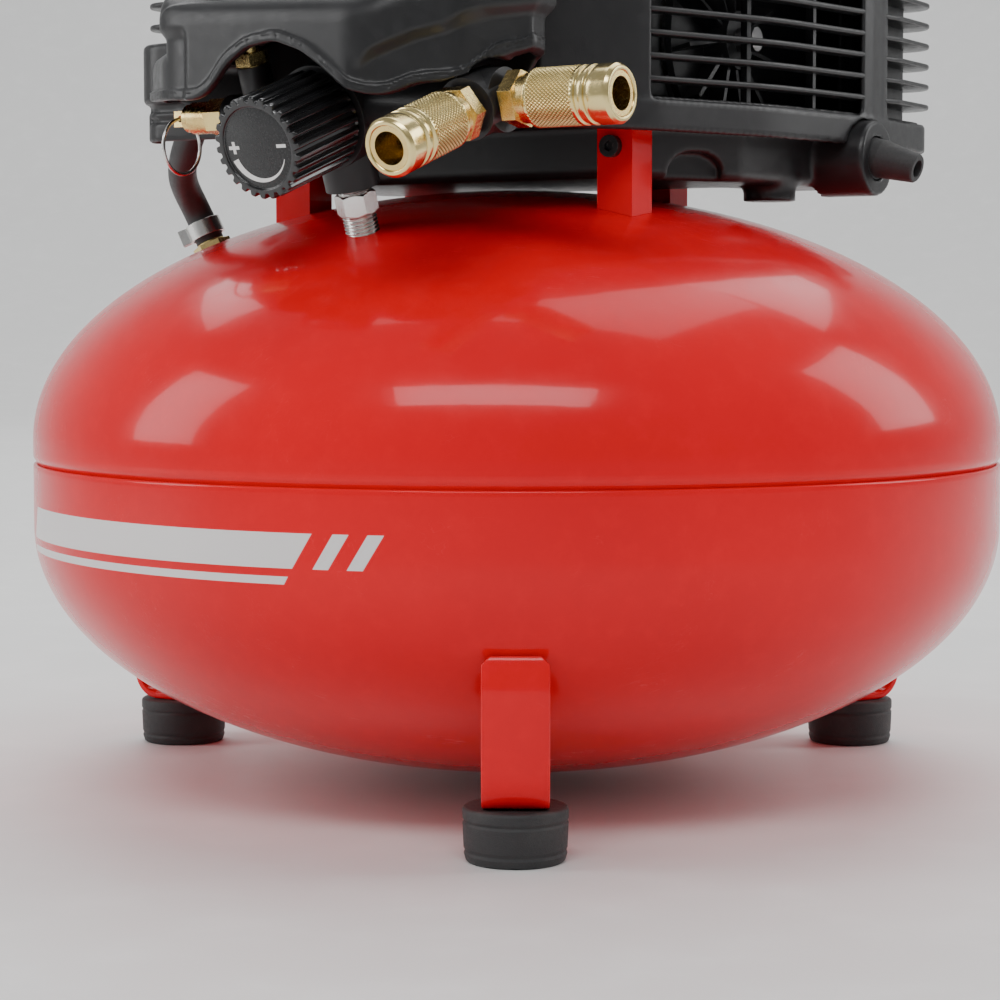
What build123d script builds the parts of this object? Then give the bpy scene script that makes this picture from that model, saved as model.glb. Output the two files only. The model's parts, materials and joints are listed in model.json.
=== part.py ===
from build123d import *
import os
from math import cos, pi, radians, sin, sqrt

# Pancake air compressor: a squat round air tank on three rubber feet, with an
# oil-free pump, its motor and shroud on four brackets above it, and a
# regulator manifold with two quick couplers at the front left.
# Millimetres. Origin on the floor under the tank's axis, +Z up, front = -Y.
#
# Pump, motor, tray, shroud and console are drawn in the head frame: x to the
# right along the shafts, y backwards. HEAD turns it about Z into place.
# The manifold has a frame of its own, MANIFOLD: x along its arm, y backwards,
# z along the outlet nipple.

os.makedirs("parts", exist_ok=True)

# ---------------- driving dimensions ----------------
TANK_R = 206.0          # outer radius of the tank
WALL = 2.0              # tank sheet
HEAD_DEPTH = 104.92     # depth of each elliptical tank head
BAND_MID, BAND_HALF = 129.74, 18.25            # straight band: middle, half height
BAND_TOP, BAND_BOTTOM = BAND_MID + BAND_HALF, BAND_MID - BAND_HALF
SEAM_Z = 138.0          # lower shell's rim
SKIRT_STEP = 2.05       # how far the upper shell's skirt steps in
PORT_HOLE_R, THREAD_R = 6.95, 6.85

FOOT_R, FOOT_H, FOOT_CIRCLE_R = 19.6, 20.5, 181.0
STRAP_W, STRAP_T, STRAP_R = 25.0, 3.0, 200.0   # leg strap, outer face radius
STRAP_BEND, STRAP_END = 12.5, 163.0            # outer bend radius, inner end

HEAD_YAW = -32.0        # the pump head is turned towards the front left
MANIFOLD_YAW, MANIFOLD_TILT = -34.19, 19.34
MANIFOLD_ORIGIN = (-68.9, -119.2, 278.4)       # point on the regulator's axis
PORT_X = 66.9           # left coupler's place along the manifold arm

COUPLER_R, SOCKET_R, SLEEVE_L = 11.0, 6.2, 37.0
KNOB_R, KNOB_L, KNOB_RIBS = 19.7, 39.8, 26

TRAY_Z, TRAY_T = 275.0, 3.0                    # underside of the tray's flange
TUB_Z = 254.6
BRACKET_T, BRACKET_SCREW_Z = 3.0, 266.7
SHROUD_Z0, SHROUD_Z1, SHROUD_T = 272.0, 415.0, 2.5
SLOT_Z, SLOT_COUNT, SLOT_PITCH, BAR = 285.0, 12, 9.0, 2.3
HANDLE_X, HANDLE_Y, HANDLE_Z, HANDLE_R = 92, 12, 446, 8
BOOT_Y, BOOT_Z = 74.0, 266.5                   # cord boot's axis

CRANK_Y, CRANK_Z, THROW = -58.0, 310.0, 9.0
ARM_Y, ARM_Z = 14.0, 313.0                     # armature axis
CYL_X = -25.0                                  # cylinder's axis along the shaft
BORE_R, PISTON_R = 23.05, 23.0
FLYWHEEL_R, FLYWHEEL_GROOVE, PULLEY_R = 30.0, 2.4, 11.0

UP = (Align.CENTER, Align.CENTER, Align.MIN)   # centred, standing on its base
DIR_X, DIR_Z = Vector(1, 0, 0), Vector(0, 0, 1)


# ---------------- helpers ----------------
def save(shape, name):
    solids = shape.solids()
    whole = Compound(children=list(solids)) if len(solids) > 1 else solids[0]
    export_step(whole, f"parts/{name}.step")


def save_set(shapes, name):
    """Several one-solid shapes in one file."""
    save(Compound(children=[shape.solids()[0] for shape in shapes]), name)


# A "line" below is a pair (origin, unit direction); places on it are distances.
def line_x(y, z):
    return Vector(0, y, z), DIR_X


def line_z(x, y, z=0):
    return Vector(x, y, z), DIR_Z


def point(line, distance):
    origin, axis = line
    return origin + axis * distance


def rod(line, start, end, radius):
    base = point(line, start)
    span = point(line, end) - base
    return Plane(origin=base, z_dir=span) * Cylinder(radius, span.length, align=UP)


def hex_rod(line, start, end, flats, x_dir=None):
    base = point(line, start)
    span = point(line, end) - base
    if x_dir:
        plane = Plane(origin=base, z_dir=span, x_dir=x_dir)
    else:
        plane = Plane(origin=base, z_dir=span)
    return extrude(plane * RegularPolygon(flats / 2, 6, major_radius=False), span.length)


def lathe(line, points):
    """Turned part: points are (distance along the line, radius)."""
    origin, axis = line
    face = make_face(Plane.XZ * Polyline([(r, s) for s, r in points], close=True))
    return Plane(origin=origin, z_dir=axis) * revolve(face, Axis.Z)


def post(radius, height, x=0, y=0, z=0):
    return Pos(x, y, z) * Cylinder(radius, height, align=UP)


def box(x0, x1, y0, y1, z0, z1):
    """Box between limits; the y limits may come in either order."""
    middle = Pos((x0 + x1) / 2, (y0 + y1) / 2, (z0 + z1) / 2)
    return middle * Box(x1 - x0, abs(y1 - y0), z1 - z0)


def prism(points, z0, z1, corner=0.0, grow=0.0):
    sketch = make_face(Polyline(points, close=True))
    if grow:
        sketch = offset(sketch, grow, kind=Kind.INTERSECTION)
    if corner:
        sketch = fillet(sketch.vertices(), corner)
    return extrude(Pos(0, 0, z0) * sketch, z1 - z0)


def thread(start, end, pitch=1.41, depth=0.7):
    """Thread drawn as rings, as points for lathe()."""
    count = int((end - start) / pitch)
    step = (end - start) / count
    points = []
    for i in range(count):
        root = start + i * step
        points += [(root, THREAD_R - depth), (root + step * 0.5, THREAD_R)]
    return points + [(end, THREAD_R - depth)]


def ribbed_face(count, profile):
    """Knob outline: profile holds (fraction of a rib's pitch, radius)."""
    points = []
    for i in range(count):
        for fraction, radius in profile:
            angle = 2 * pi * (i + fraction) / count
            points.append((radius * cos(angle), radius * sin(angle)))
    return make_face(Polyline(points, close=True))


def pipe(points, tangents, radius, scalars=None):
    path = Spline([Vector(p) for p in points], tangents=[Vector(t) for t in tangents],
                  tangent_scalars=scalars)
    return sweep(Plane(origin=path @ 0, z_dir=path % 0) * Circle(radius), path=path)


# ---------------- frames and axes ----------------
HEAD = Rot(0, 0, HEAD_YAW)
UNHEAD = Rot(0, 0, -HEAD_YAW)


def head_to_world(x, y, z):
    yaw = radians(HEAD_YAW)
    return Vector(x * cos(yaw) - y * sin(yaw), x * sin(yaw) + y * cos(yaw), z)


yaw, tilt = radians(MANIFOLD_YAW), radians(MANIFOLD_TILT)
ARM_DIR = Vector(cos(yaw), sin(yaw), 0)
NIPPLE_DIR = Vector(sin(yaw) * sin(tilt), -cos(yaw) * sin(tilt), cos(tilt))
KNOB_DIR = Vector(sin(yaw) * cos(tilt), -cos(yaw) * cos(tilt), -sin(tilt))
MANIFOLD = Plane(origin=MANIFOLD_ORIGIN, x_dir=ARM_DIR, z_dir=NIPPLE_DIR)


def manifold_line(x, y, z, axis):
    return MANIFOLD.from_local_coords(Vector(x, y, z)), axis


ARM = manifold_line(0, 0, 0, ARM_DIR)
KNOB = manifold_line(0, 0, 0, KNOB_DIR)
LEFT_OUTLET = manifold_line(PORT_X, 0, 0, KNOB_DIR)
RIGHT_OUTLET = manifold_line(0, 3, 0, ARM_DIR)
LEFT_TAP = manifold_line(-36, 0, 0, NIPPLE_DIR)
RIGHT_TAP = manifold_line(38, 6, 0, NIPPLE_DIR)
SAFETY = manifold_line(-52, 0, 0, -ARM_DIR)


def tank_port(x, y, side):
    """Line out of the tank, square to the head; side is 1 on top, -1 below."""
    rise = side * HEAD_DEPTH * sqrt(1 - (x * x + y * y) / TANK_R ** 2)
    origin = Vector(x, y, (BAND_TOP if side > 0 else BAND_BOTTOM) + rise)
    normal = Vector(x / TANK_R ** 2, y / TANK_R ** 2, rise / HEAD_DEPTH ** 2)
    return origin, normal.normalized()


OUTLET = manifold_line(0, 0, -48.6, NIPPLE_DIR)
INLET = tank_port(-133.0, 30.0, 1)
drain_angle = radians(150)      # from the front
DRAIN = tank_port(140 * sin(drain_angle), -140 * cos(drain_angle), -1)

CRANK = line_x(CRANK_Y, CRANK_Z)
CRANK_PIN = line_x(CRANK_Y, CRANK_Z + THROW)
CYLINDER = line_z(CYL_X, CRANK_Y)
ARMATURE = line_x(ARM_Y, ARM_Z)
BOOT = line_x(BOOT_Y, BOOT_Z)


# ---------------- tank ----------------
def head_curve(radius, depth, side):
    """Quarter ellipse from the band to the axis, as a smooth curve."""
    band = BAND_TOP if side > 0 else BAND_BOTTOM
    count = 16
    points = []
    for i in range(count):
        angle = pi / 2 * i / count
        points.append((radius * cos(angle), band + side * depth * sin(angle)))
    return Spline(points + [(0, band + side * depth)], tangents=[(0, side), (-1, 0)])


def revolved(edges):
    return revolve(make_face([Plane.XZ * edge for edge in edges]), Axis.Z)


def full_tank(radius, depth):
    return revolved([
        head_curve(radius, depth, 1),
        Line((radius, BAND_TOP), (radius, BAND_BOTTOM)),
        head_curve(radius, depth, -1),
        Line((0, BAND_BOTTOM - depth), (0, BAND_TOP + depth))])


inner_r, inner_depth = TANK_R - WALL, HEAD_DEPTH - WALL
tank_outer = full_tank(TANK_R, HEAD_DEPTH)
tank_inner = full_tank(inner_r - 0.05, inner_depth - 0.05)
skirt_r = TANK_R - SKIRT_STEP
upper = revolved([
    head_curve(TANK_R, HEAD_DEPTH, 1),
    Polyline([(TANK_R, BAND_TOP), (TANK_R, SEAM_Z + 3.4), (TANK_R - 0.5, SEAM_Z + 2.0),
              (skirt_r, SEAM_Z - 0.4), (skirt_r, 126.0), (skirt_r - WALL, 126.0),
              (skirt_r - WALL, SEAM_Z + 0.4), (inner_r, SEAM_Z + 3.6), (inner_r, BAND_TOP)]),
    head_curve(inner_r, inner_depth, 1),
    Line((0, BAND_TOP + inner_depth), (0, BAND_TOP + HEAD_DEPTH))])
lower = revolved([
    head_curve(TANK_R, HEAD_DEPTH, -1),
    Polyline([(TANK_R, BAND_BOTTOM), (TANK_R, SEAM_Z - 1.1), (TANK_R - 0.3, SEAM_Z - 0.4),
              (TANK_R - 1.0, SEAM_Z), (inner_r + 0.4, SEAM_Z), (inner_r, SEAM_Z - 0.5),
              (inner_r, BAND_BOTTOM)]),
    head_curve(inner_r, inner_depth, -1),
    Line((0, BAND_BOTTOM - inner_depth), (0, BAND_BOTTOM - HEAD_DEPTH))])

bungs = []
for port in (OUTLET, INLET, DRAIN):
    hole = rod(port, -25, 8, PORT_HOLE_R)
    upper -= hole
    lower -= hole
    bungs.append((rod(port, -15, 4, 11.5) & tank_inner) - hole)
save(upper, "tank_upper_shell")
save(lower, "tank_lower_shell")
save_set(bungs, "tank_bungs")

# ---------------- legs and feet ----------------
# drawn on the +X side, then turned to each leg
bend_x, bend_z = STRAP_R - STRAP_BEND, FOOT_H + STRAP_BEND
strap_inner = STRAP_R - STRAP_T
strap_profile = [
    CenterArc((bend_x, bend_z), STRAP_BEND, -90, 90),
    Polyline([(STRAP_R, bend_z), (STRAP_R, 67), (STRAP_R - 2.2, 77.8),
              (STRAP_R - 5.2, 77.2), (strap_inner, 66.6), (strap_inner, bend_z)]),
    CenterArc((bend_x, bend_z), STRAP_BEND - STRAP_T, 0, -90),
    Polyline([(bend_x, FOOT_H + STRAP_T), (STRAP_END, FOOT_H + STRAP_T),
              (STRAP_END, FOOT_H), (bend_x, FOOT_H)])]
leg = extrude(make_face([Plane.XZ * edge for edge in strap_profile]), STRAP_W / 2, both=True)
# chamfered top corners
leg = leg - [Pos(strap_inner, side * 13.5, 78.5) * Rot(45, 0, 0) * Box(14, 4.2, 4.2)
             for side in (-1, 1)]
leg -= post(3.2, 20, FOOT_CIRCLE_R, z=15)

foot = post(FOOT_R, FOOT_H - 0.01, FOOT_CIRCLE_R)
foot = fillet(foot.edges().group_by(Axis.Z)[0], 1.2)
foot -= post(9, 9, FOOT_CIRCLE_R, z=-1)
foot -= post(3.2, 30, FOOT_CIRCLE_R)

foot_line = line_z(FOOT_CIRCLE_R, 0)
screw = post(5.5, 4.4, FOOT_CIRCLE_R, z=3.5) + post(3.0, 27, FOOT_CIRCLE_R, z=3.5) \
    + hex_rod(foot_line, 23.6, 28.6, 10)
screw -= hex_rod(foot_line, 3.0, 6.0, 4)

LEG_ANGLES = {"front_leg": -90, "right_leg": 30, "left_leg": 150}
for name, angle in LEG_ANGLES.items():
    save((Rot(0, 0, angle) * leg) - tank_outer, name)
save_set([Rot(0, 0, angle) * foot for angle in LEG_ANGLES.values()], "rubber_feet")
save_set([Rot(0, 0, angle) * screw for angle in LEG_ANGLES.values()], "foot_screws")

# ---------------- base tray (head frame) ----------------
# plan outlines, (x, y)
SHROUD_PLAN = [(-120, -108), (66, -108), (98, -62), (122, 10), (131, 80), (127, 152),
               (-112, 152), (-124, 60)]
TUB_PLAN = [(-69, -51.5), (84.4, -51.5), (84.4, -37), (106, 6), (114, 70), (108, 102),
            (74, 102), (70, 54.6), (-98, 54.6), (-104, 42), (-104, -36), (-69, -36)]
# angle brackets: name, x limits, y of the outer face, inward direction in y,
# then from that y: start of the side plate, start of the tray's slot for it
BRACKETS = [
    ("left_front_bracket", -88.0, -70.0, -54.5, 1, 0, -1),
    ("right_front_bracket", 72.0, 88.0, -54.5, 1, 0, -1),
    ("left_rear_bracket", -96.0, -78.0, 58.0, -1, -3, -3.02),
    ("right_rear_bracket", 29.0, 45.0, 58.0, -1, -3, -3.02),
]


def bracket_screw_line(x0, x1, y, inward):
    return Vector((x0 + x1) / 2 - 1, y, BRACKET_SCREW_Z), Vector(0, inward, 0)


tray = prism(SHROUD_PLAN, TRAY_Z, TRAY_Z + TRAY_T, 12, -3.0)
rim = prism(SHROUD_PLAN, TRAY_Z, TRAY_Z + 11, 12, -3.0) \
    - prism(SHROUD_PLAN, TRAY_Z - 1, TRAY_Z + 12, 10, -5.2)
tub = prism(TUB_PLAN, TUB_Z, TRAY_Z + 0.5, 5) \
    - prism(TUB_PLAN, TUB_Z + 2.6, TRAY_Z + 5, 3, -2.6)
tray = tray - prism(TUB_PLAN, TRAY_Z - 5, TRAY_Z + 5, 3, -2.6) + rim + tub
slot_top = TRAY_Z - 0.4
for name, x0, x1, y, inward, side_start, slot_start in BRACKETS:
    # a block behind each bracket, and slots for its two plates
    tray += box(x0 + 0.5, x1 - 3.1, y + inward * 3.05, y + inward * 16, 256, TRAY_Z + 1)
    tray -= box(x1 - 3.05, x1 + 0.4, y + slot_start, y + side_start + 17, 240, slot_top)
    tray -= box(x0 - 0.5, x1 + 0.4, y - inward, y + inward * 3.02, 240, slot_top)
tray = tray + rod(BOOT, 110, 136, 16.0) - rod(BOOT, 100, 140, 9.4)
tray -= box(-131, -98.5, -93, -51, 250, 292)                   # hose passage
for name, x0, x1, y, inward, side_start, slot_start in BRACKETS:
    tray -= rod(bracket_screw_line(x0, x1, y, inward), -1, 12, 2.25)
save(HEAD * tray, "base_tray")

# ---------------- brackets and their screws ----------------
bracket_screws = []
for name, x0, x1, y, inward, side_start, slot_start in BRACKETS:
    top = TRAY_Z - 0.7
    side_y = y + side_start
    bracket = box(x0, x1, y, y + inward * BRACKET_T, 200, top) \
        + box(x1 - BRACKET_T, x1, side_y, side_y + 16, 200, top)
    line = bracket_screw_line(x0, x1, y, inward)
    bracket -= rod(line, -2, 6, 2.3)
    save((HEAD * bracket) - tank_outer, name)
    screw = rod(line, -3.2, -0.02, 4.4) + rod(line, 0, 11, 2.2)
    screw -= hex_rod(line, -3.5, -1.4, 3.6)
    bracket_screws.append(HEAD * screw)
save_set(bracket_screws, "bracket_screws")

# ---------------- shroud halves and screws ----------------
GRILLE_PLAN = [(90, -54), (116, -64), (142, 8), (150, 72), (120, 72), (108, 8)]
SHROUD_SCREWS = [(-60, 100), (60, 100), (-60, -80), (60, -80)]

outer = prism(SHROUD_PLAN, SHROUD_Z0, SHROUD_Z1, 14)
outer = fillet(outer.edges().group_by(Axis.Z)[-1], 9)
inner = prism(SHROUD_PLAN, SHROUD_Z0 - 1, SHROUD_Z1 - SHROUD_T, 14 - SHROUD_T, -SHROUD_T)
inner = fillet(inner.edges().group_by(Axis.Z)[-1], 9 - SHROUD_T)
shroud = outer - inner
shroud -= box(-84, 84, -112, -100, 287, 362)                   # opening behind the console
shroud -= rod(BOOT, 100, 145, 16.3)
shroud -= box(-131, -98.5, -93, -51, 250, 283.5)               # hose passage
shroud -= box(-131, -98.5, -93, -65, 250, 292)
right = shroud & box(0.05, 200, -200, 200, 200, 500)
left = shroud & box(-200, -0.05, -200, 200, 200, 500)
# baffle that ducts air from the grille through the fan
right += (box(83, 85, -100, 151, 287, 413.5) & outer) - rod(ARMATURE, 80, 90, 41.0)
for i in range(SLOT_COUNT):
    z0 = SLOT_Z + i * SLOT_PITCH
    z1 = z0 + SLOT_PITCH - BAR
    right -= prism(GRILLE_PLAN, z0, z1)
    right -= box(20, 104, 146, 160, z0, z1)
    left -= box(-96, -20, 146, 160, z0, z1)
    left -= box(-134, -112, -84, 56, z0, z1)
handle_holes = post(HANDLE_R + 0.1, 40, -HANDLE_X, HANDLE_Y, 390) \
    + post(HANDLE_R + 0.1, 40, HANDLE_X, HANDLE_Y, 390)
left -= handle_holes
right -= handle_holes
shroud_screws = []
for x, y in SHROUD_SCREWS:
    line = line_z(x, y, SHROUD_Z1)
    screw = rod(line, -7, 0, 2.0) + rod(line, 0.02, 2.4, 4.2)
    screw -= hex_rod(line, 1, 3, 3.4)
    shroud_screws.append(HEAD * screw)
    left -= rod(line, -15, 5, 2.1)
    right -= rod(line, -15, 5, 2.1)
save_set(shroud_screws, "shroud_screws")
save(HEAD * right, "right_shroud")
save(HEAD * left, "left_shroud")

# ---------------- console cover ----------------
CONSOLE_PLAN = [(-100, -108.3), (-88, -140), (-58, -168), (40, -174), (72, -158),
                (88, -124), (86, -108.3)]
CONSOLE_TOP = 366
PANEL_FOOT, PANEL_HEAD = (-174, 313), (-112, CONSOLE_TOP)      # sloped panel, (y, z)
PANEL_DIR = Vector(0, PANEL_FOOT[1] - PANEL_HEAD[1], PANEL_HEAD[0] - PANEL_FOOT[0]).normalized()


def panel_line(x):
    return Vector(x, -137.7, 344.1), PANEL_DIR


TANK_GAUGE, OUTLET_GAUGE = panel_line(-42.0), panel_line(38.0)
SWITCH = panel_line(-2)
SWITCH_PLANE = Plane(origin=SWITCH[0], x_dir=(1, 0, 0), z_dir=PANEL_DIR)


def console_block(grow, z0, drop):
    sketch = make_face(Polyline(CONSOLE_PLAN, close=True))
    if grow:
        sketch = offset(sketch, grow, kind=Kind.INTERSECTION)
    sketch = fillet(sketch.vertices().sort_by(Axis.Y)[:5], 10)
    block = extrude(Pos(0, 0, z0) * sketch, CONSOLE_TOP - drop - z0)
    above_panel = make_face(Polyline([
        (-190, 302 - drop), (PANEL_FOOT[0], PANEL_FOOT[1] - drop),
        (PANEL_HEAD[0], PANEL_HEAD[1] - drop), (-112, 400), (-190, 400)], close=True))
    return block - extrude(Plane.YZ * above_panel, 150, both=True)


console = console_block(0, 286, 0) - console_block(-2.6, 280, 2.9)
console -= box(-92, 81, -113, -100, 280, 361)
# clearances for the manifold: left coupler, knob, right coupler, safety valve
console -= UNHEAD * rod(LEFT_OUTLET, -14, 14, 13.5)
console = console - UNHEAD * (MANIFOLD * (Rot(90, 0, 0) * Cylinder(26, 90, align=UP))) \
    - UNHEAD * rod(RIGHT_OUTLET, 48, 140, 15.5) - UNHEAD * rod(ARM, -30, -100, 10)
for gauge in (TANK_GAUGE, OUTLET_GAUGE):
    console -= rod(gauge, -12, 10, 19.0)
console -= SWITCH_PLANE * Box(19, 27, 20)
save(HEAD * console.solids().sort_by(SortBy.VOLUME)[-1], "console_cover")

# ---------------- gauges ----------------
cases, dials, lenses = [], [], []
for gauge, name in ((TANK_GAUGE, "tank_gauge_needle"), (OUTLET_GAUGE, "outlet_gauge_needle")):
    case = lathe(gauge, [(-22, 0), (-22, 5), (-20, 5), (-20, 18.6), (3.5, 18.6), (3.5, 21),
                         (6, 21), (6, 18.0), (-14, 18.0), (-14, 0)])
    case += rod(gauge, -30, -21, 4.5)
    case -= rod(gauge, -31, -24, 2.3)
    cases.append(HEAD * case)
    dials.append(HEAD * lathe(gauge, [(-0.5, 1.1), (-0.5, 17.8), (0, 17.8), (0, 1.1)]))
    lenses.append(HEAD * rod(gauge, 4.0, 5.6, 17.9))
    needle_plane = Plane(origin=point(gauge, 0.6), x_dir=(1, 0, 0), z_dir=PANEL_DIR)
    pointer = Pos(-5.2, -5.2, 0.1) * Rot(0, 0, 45) * Box(15, 0.9, 0.5, align=UP)
    needle = needle_plane * (post(2.2, 1.2) + pointer) + rod(gauge, -8, 1.2, 1.0)
    save(HEAD * needle, name)
save_set(cases, "gauge_cases")
save_set(dials, "gauge_dials")
save_set(lenses, "gauge_lenses")

# ---------------- switch ----------------
switch = SWITCH_PLANE * (Pos(0, 0, -30) * Box(26, 32, 26, align=UP)
                         + Pos(0, 0, -5) * Box(18.6, 26.6, 6, align=UP)
                         + Pos(0, 0, 0.05) * Box(23, 31, 1.6, align=UP))
switch -= SWITCH_PLANE * (Pos(0, 0, -9) * Box(14, 22, 20, align=UP))
switch += SWITCH_PLANE * (Pos(6.6, 0, -3) * Box(1.2, 5, 4) + Pos(-6.6, 0, -3) * Box(1.2, 5, 4))
switch -= SWITCH_PLANE * (Pos(0, 0, -3) * Rot(0, 90, 0) * Cylinder(1.55, 30))
save(HEAD * switch, "pressure_switch")
rocker_side = make_face(Polyline([(-9.5, -4), (9.6, -4), (9.6, 2.6), (0, 1.2), (-9.2, 4.2)],
                                 close=True))
rocker = SWITCH_PLANE * (extrude(Plane.YZ * rocker_side, 5.7, both=True)
                         + Pos(0, 0, -3) * Rot(0, 90, 0) * Cylinder(1.5, 14.2))
save(HEAD * rocker, "power_rocker")

# ---------------- handle ----------------
handle_foot = (-HANDLE_X, HANDLE_Y, 399)
handle_path = FilletPolyline([handle_foot, (-HANDLE_X, HANDLE_Y, HANDLE_Z),
                              (HANDLE_X, HANDLE_Y, HANDLE_Z), (HANDLE_X, HANDLE_Y, 399)],
                             radius=22)
handle = sweep(Plane(origin=handle_foot, z_dir=(0, 0, 1)) * Circle(HANDLE_R), path=handle_path)
handle += rod(line_z(-HANDLE_X, HANDLE_Y), 415.2, 419, 13) \
    + rod(line_z(HANDLE_X, HANDLE_Y), 415.2, 419, 13)
save(HEAD * handle, "carry_handle")
grip_line = line_x(HANDLE_Y, HANDLE_Z)
grip = rod(grip_line, -62, 62, 12.0) - rod(grip_line, -70, 70, HANDLE_R + 0.02)
grip = grip - [Pos(x, HANDLE_Y, HANDLE_Z) * Rot(0, 90, 0)
               * (Cylinder(13, 1.6) - Cylinder(11.3, 2)) for x in range(-54, 55, 12)]
save(HEAD * grip, "handle_grip")

# ---------------- manifold ----------------
# (line, start, end, radius)
MANIFOLD_RODS = [
    (KNOB, -14, 2, 19.0), (KNOB, 2, 10.8, 20.6),               # regulator body
    (ARM, -52, 0, 8.5), (ARM, 0, 68, 9.5),
    (LEFT_OUTLET, -9, 9, 12.0), (RIGHT_OUTLET, 62, 77, 12.0),
    (LEFT_TAP, 0, 20, 6.5), (RIGHT_TAP, 0, 18, 6.0),
    (KNOB, 5.6, 38, 7.0),                                      # adjusting stem
]
MANIFOLD_BORES = [
    (LEFT_OUTLET, 13, 4, 6.9), (RIGHT_OUTLET, 90, 71, 6.9),
    (SAFETY, 1, -9, 5.1),
    (LEFT_TAP, 21, 12, 4.6), (RIGHT_TAP, 19, 10, 2.4),
]
manifold = MANIFOLD * post(10.75, 34, z=-30.2)
for spec in MANIFOLD_RODS:
    manifold += rod(*spec)
manifold -= MANIFOLD * post(6.9, 19, z=-31)                    # nipple socket
for spec in MANIFOLD_BORES:
    manifold -= rod(*spec)
save(manifold, "regulator_manifold")

# outlet nipple: threaded ends and a hexagon
nipple = lathe(OUTLET, [(-12, 0)] + thread(-12, 7.5) + [(7.5, 6.0), (16.5, 6.0)]
               + thread(16.5, 30.5) + [(30.5, 0)])
nipple += hex_rod(OUTLET, 7.4, 16.2, 14.3, ARM_DIR)
nipple -= rod(OUTLET, -13, 32, 4.0)
save(nipple, "outlet_nipple")

# ---------------- regulator knob ----------------
knob_plane = Plane(origin=point(KNOB, 11.2), x_dir=ARM_DIR, z_dir=KNOB_DIR)
knob_face = ribbed_face(KNOB_RIBS, ((0.0, KNOB_R), (0.46, KNOB_R),
                                    (0.56, KNOB_R - 1.7), (0.90, KNOB_R - 1.7)))
knob = knob_plane * extrude(knob_face, KNOB_L)
knob -= knob_plane * post(15.6, 2, z=KNOB_L - 0.8)
knob -= rod(KNOB, 6, 40, 7.05)
knob -= knob_plane * (Pos(0, 0, -1) * (post(16, 24) - post(9.5, 24)))
save(knob, "regulator_knob")
save(knob_plane * post(15.5, 0.6, z=KNOB_L - 0.79), "knob_label")


# ---------------- quick couplers ----------------
def coupler(line, back, face, x_dir, side):
    """Body and sleeve from back (threaded end) to face (open end) on the line."""
    start = face - SLEEVE_L
    body = lathe(line, [(back, 0)] + thread(back, back + 8.5) + [
        (back + 8.5, 7.6), (start - 9.5, 7.6), (start - 9.5, 9.3), (start + 3.2, 9.3),
        (start + 3.2, 8.2), (face - 0.6, 8.2), (face - 0.6, 0)])
    body += hex_rod(line, start - 10.5, start - 4.6, 19.0, x_dir)
    body -= rod(line, face - 24, face + 1, SOCKET_R)
    body -= rod(line, back - 1, face - 20, 4.0)
    save(body, f"{side}_coupler_body")
    rim_r, groove_r = COUPLER_R, COUPLER_R - 1.0
    sleeve = lathe(line, [
        (start, 9.4), (start, rim_r - 0.5), (start + 0.5, rim_r),
        (face - 14.6, rim_r), (face - 14.2, groove_r), (face - 12.8, groove_r),
        (face - 12.4, rim_r), (face - 10.6, rim_r), (face - 10.2, groove_r),
        (face - 8.9, groove_r), (face - 8.5, rim_r), (face - 1.0, rim_r),
        (face, groove_r), (face, 8.25), (start + 7.2, 8.25), (start + 7.2, 9.4)])
    save(sleeve, f"{side}_coupler_sleeve")


coupler(LEFT_OUTLET, 4.5, 59.4, ARM_DIR, "left")
coupler(RIGHT_OUTLET, PORT_X + 4.5, PORT_X + 60.7, NIPPLE_DIR, "right")

# ---------------- safety valve ----------------
# thread in the left arm, hexagon, spring barrel; the stem carries the pull ring
valve = lathe(SAFETY, [(-7.9, 0), (-7.9, 5.0), (0.5, 5.0), (0.5, 6.4), (19.5, 6.4),
                       (20.5, 5.6), (22.5, 5.6), (22.5, 0)])
valve += hex_rod(SAFETY, 1, 10, 13.0, NIPPLE_DIR)
valve -= rod(SAFETY, 23, 10, 2.55)
valve -= rod(SAFETY, -9, 6, 2.0)
save(valve, "safety_valve_body")
cross_dir = Vector(-ARM_DIR.Y, ARM_DIR.X, 0)                   # level, across the stem
stem_tip = point(SAFETY, 27.0)
stem = rod(SAFETY, 14, 24.5, 2.5)
stem += Plane(origin=point(SAFETY, 26.6), x_dir=ARM_DIR, z_dir=cross_dir) * Box(7.2, 6.4, 2.0)
stem -= rod((stem_tip, cross_dir), -5, 5, 1.3)
save(stem, "safety_valve_stem")
RING_R = 11.0
ring_plane = Plane(origin=stem_tip + Vector(0, 0, -RING_R), x_dir=cross_dir, z_dir=ARM_DIR)
save(ring_plane * Torus(RING_R, 0.75), "safety_ring")

# ---------------- gauge fitting and tubes ----------------
fitting = lathe(LEFT_TAP, [(12.5, 0), (12.5, 4.5), (20.0, 4.5), (20.0, 5.2), (25, 5.2),
                           (25, 4.0), (28, 4.0), (28, 0)])
fitting += hex_rod(LEFT_TAP, 20.5, 25.5, 12.0, ARM_DIR)
fitting -= rod(LEFT_TAP, 22, 35, 2.3)
save(fitting, "gauge_fitting")
# tap, where the tube starts on it, a point it passes (head frame), gauge
GAUGE_TUBES = [(LEFT_TAP, 28.1, (-37, -130, 308), TANK_GAUGE),
               (RIGHT_TAP, 18.1, (39, -126, 305), OUTLET_GAUGE)]
save_set([pipe([point(tap, start), head_to_world(*via), head_to_world(*point(gauge, -30.1))],
               [NIPPLE_DIR, head_to_world(*PANEL_DIR)], 2.0)
          for tap, start, via, gauge in GAUGE_TUBES], "gauge_tubes")

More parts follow.
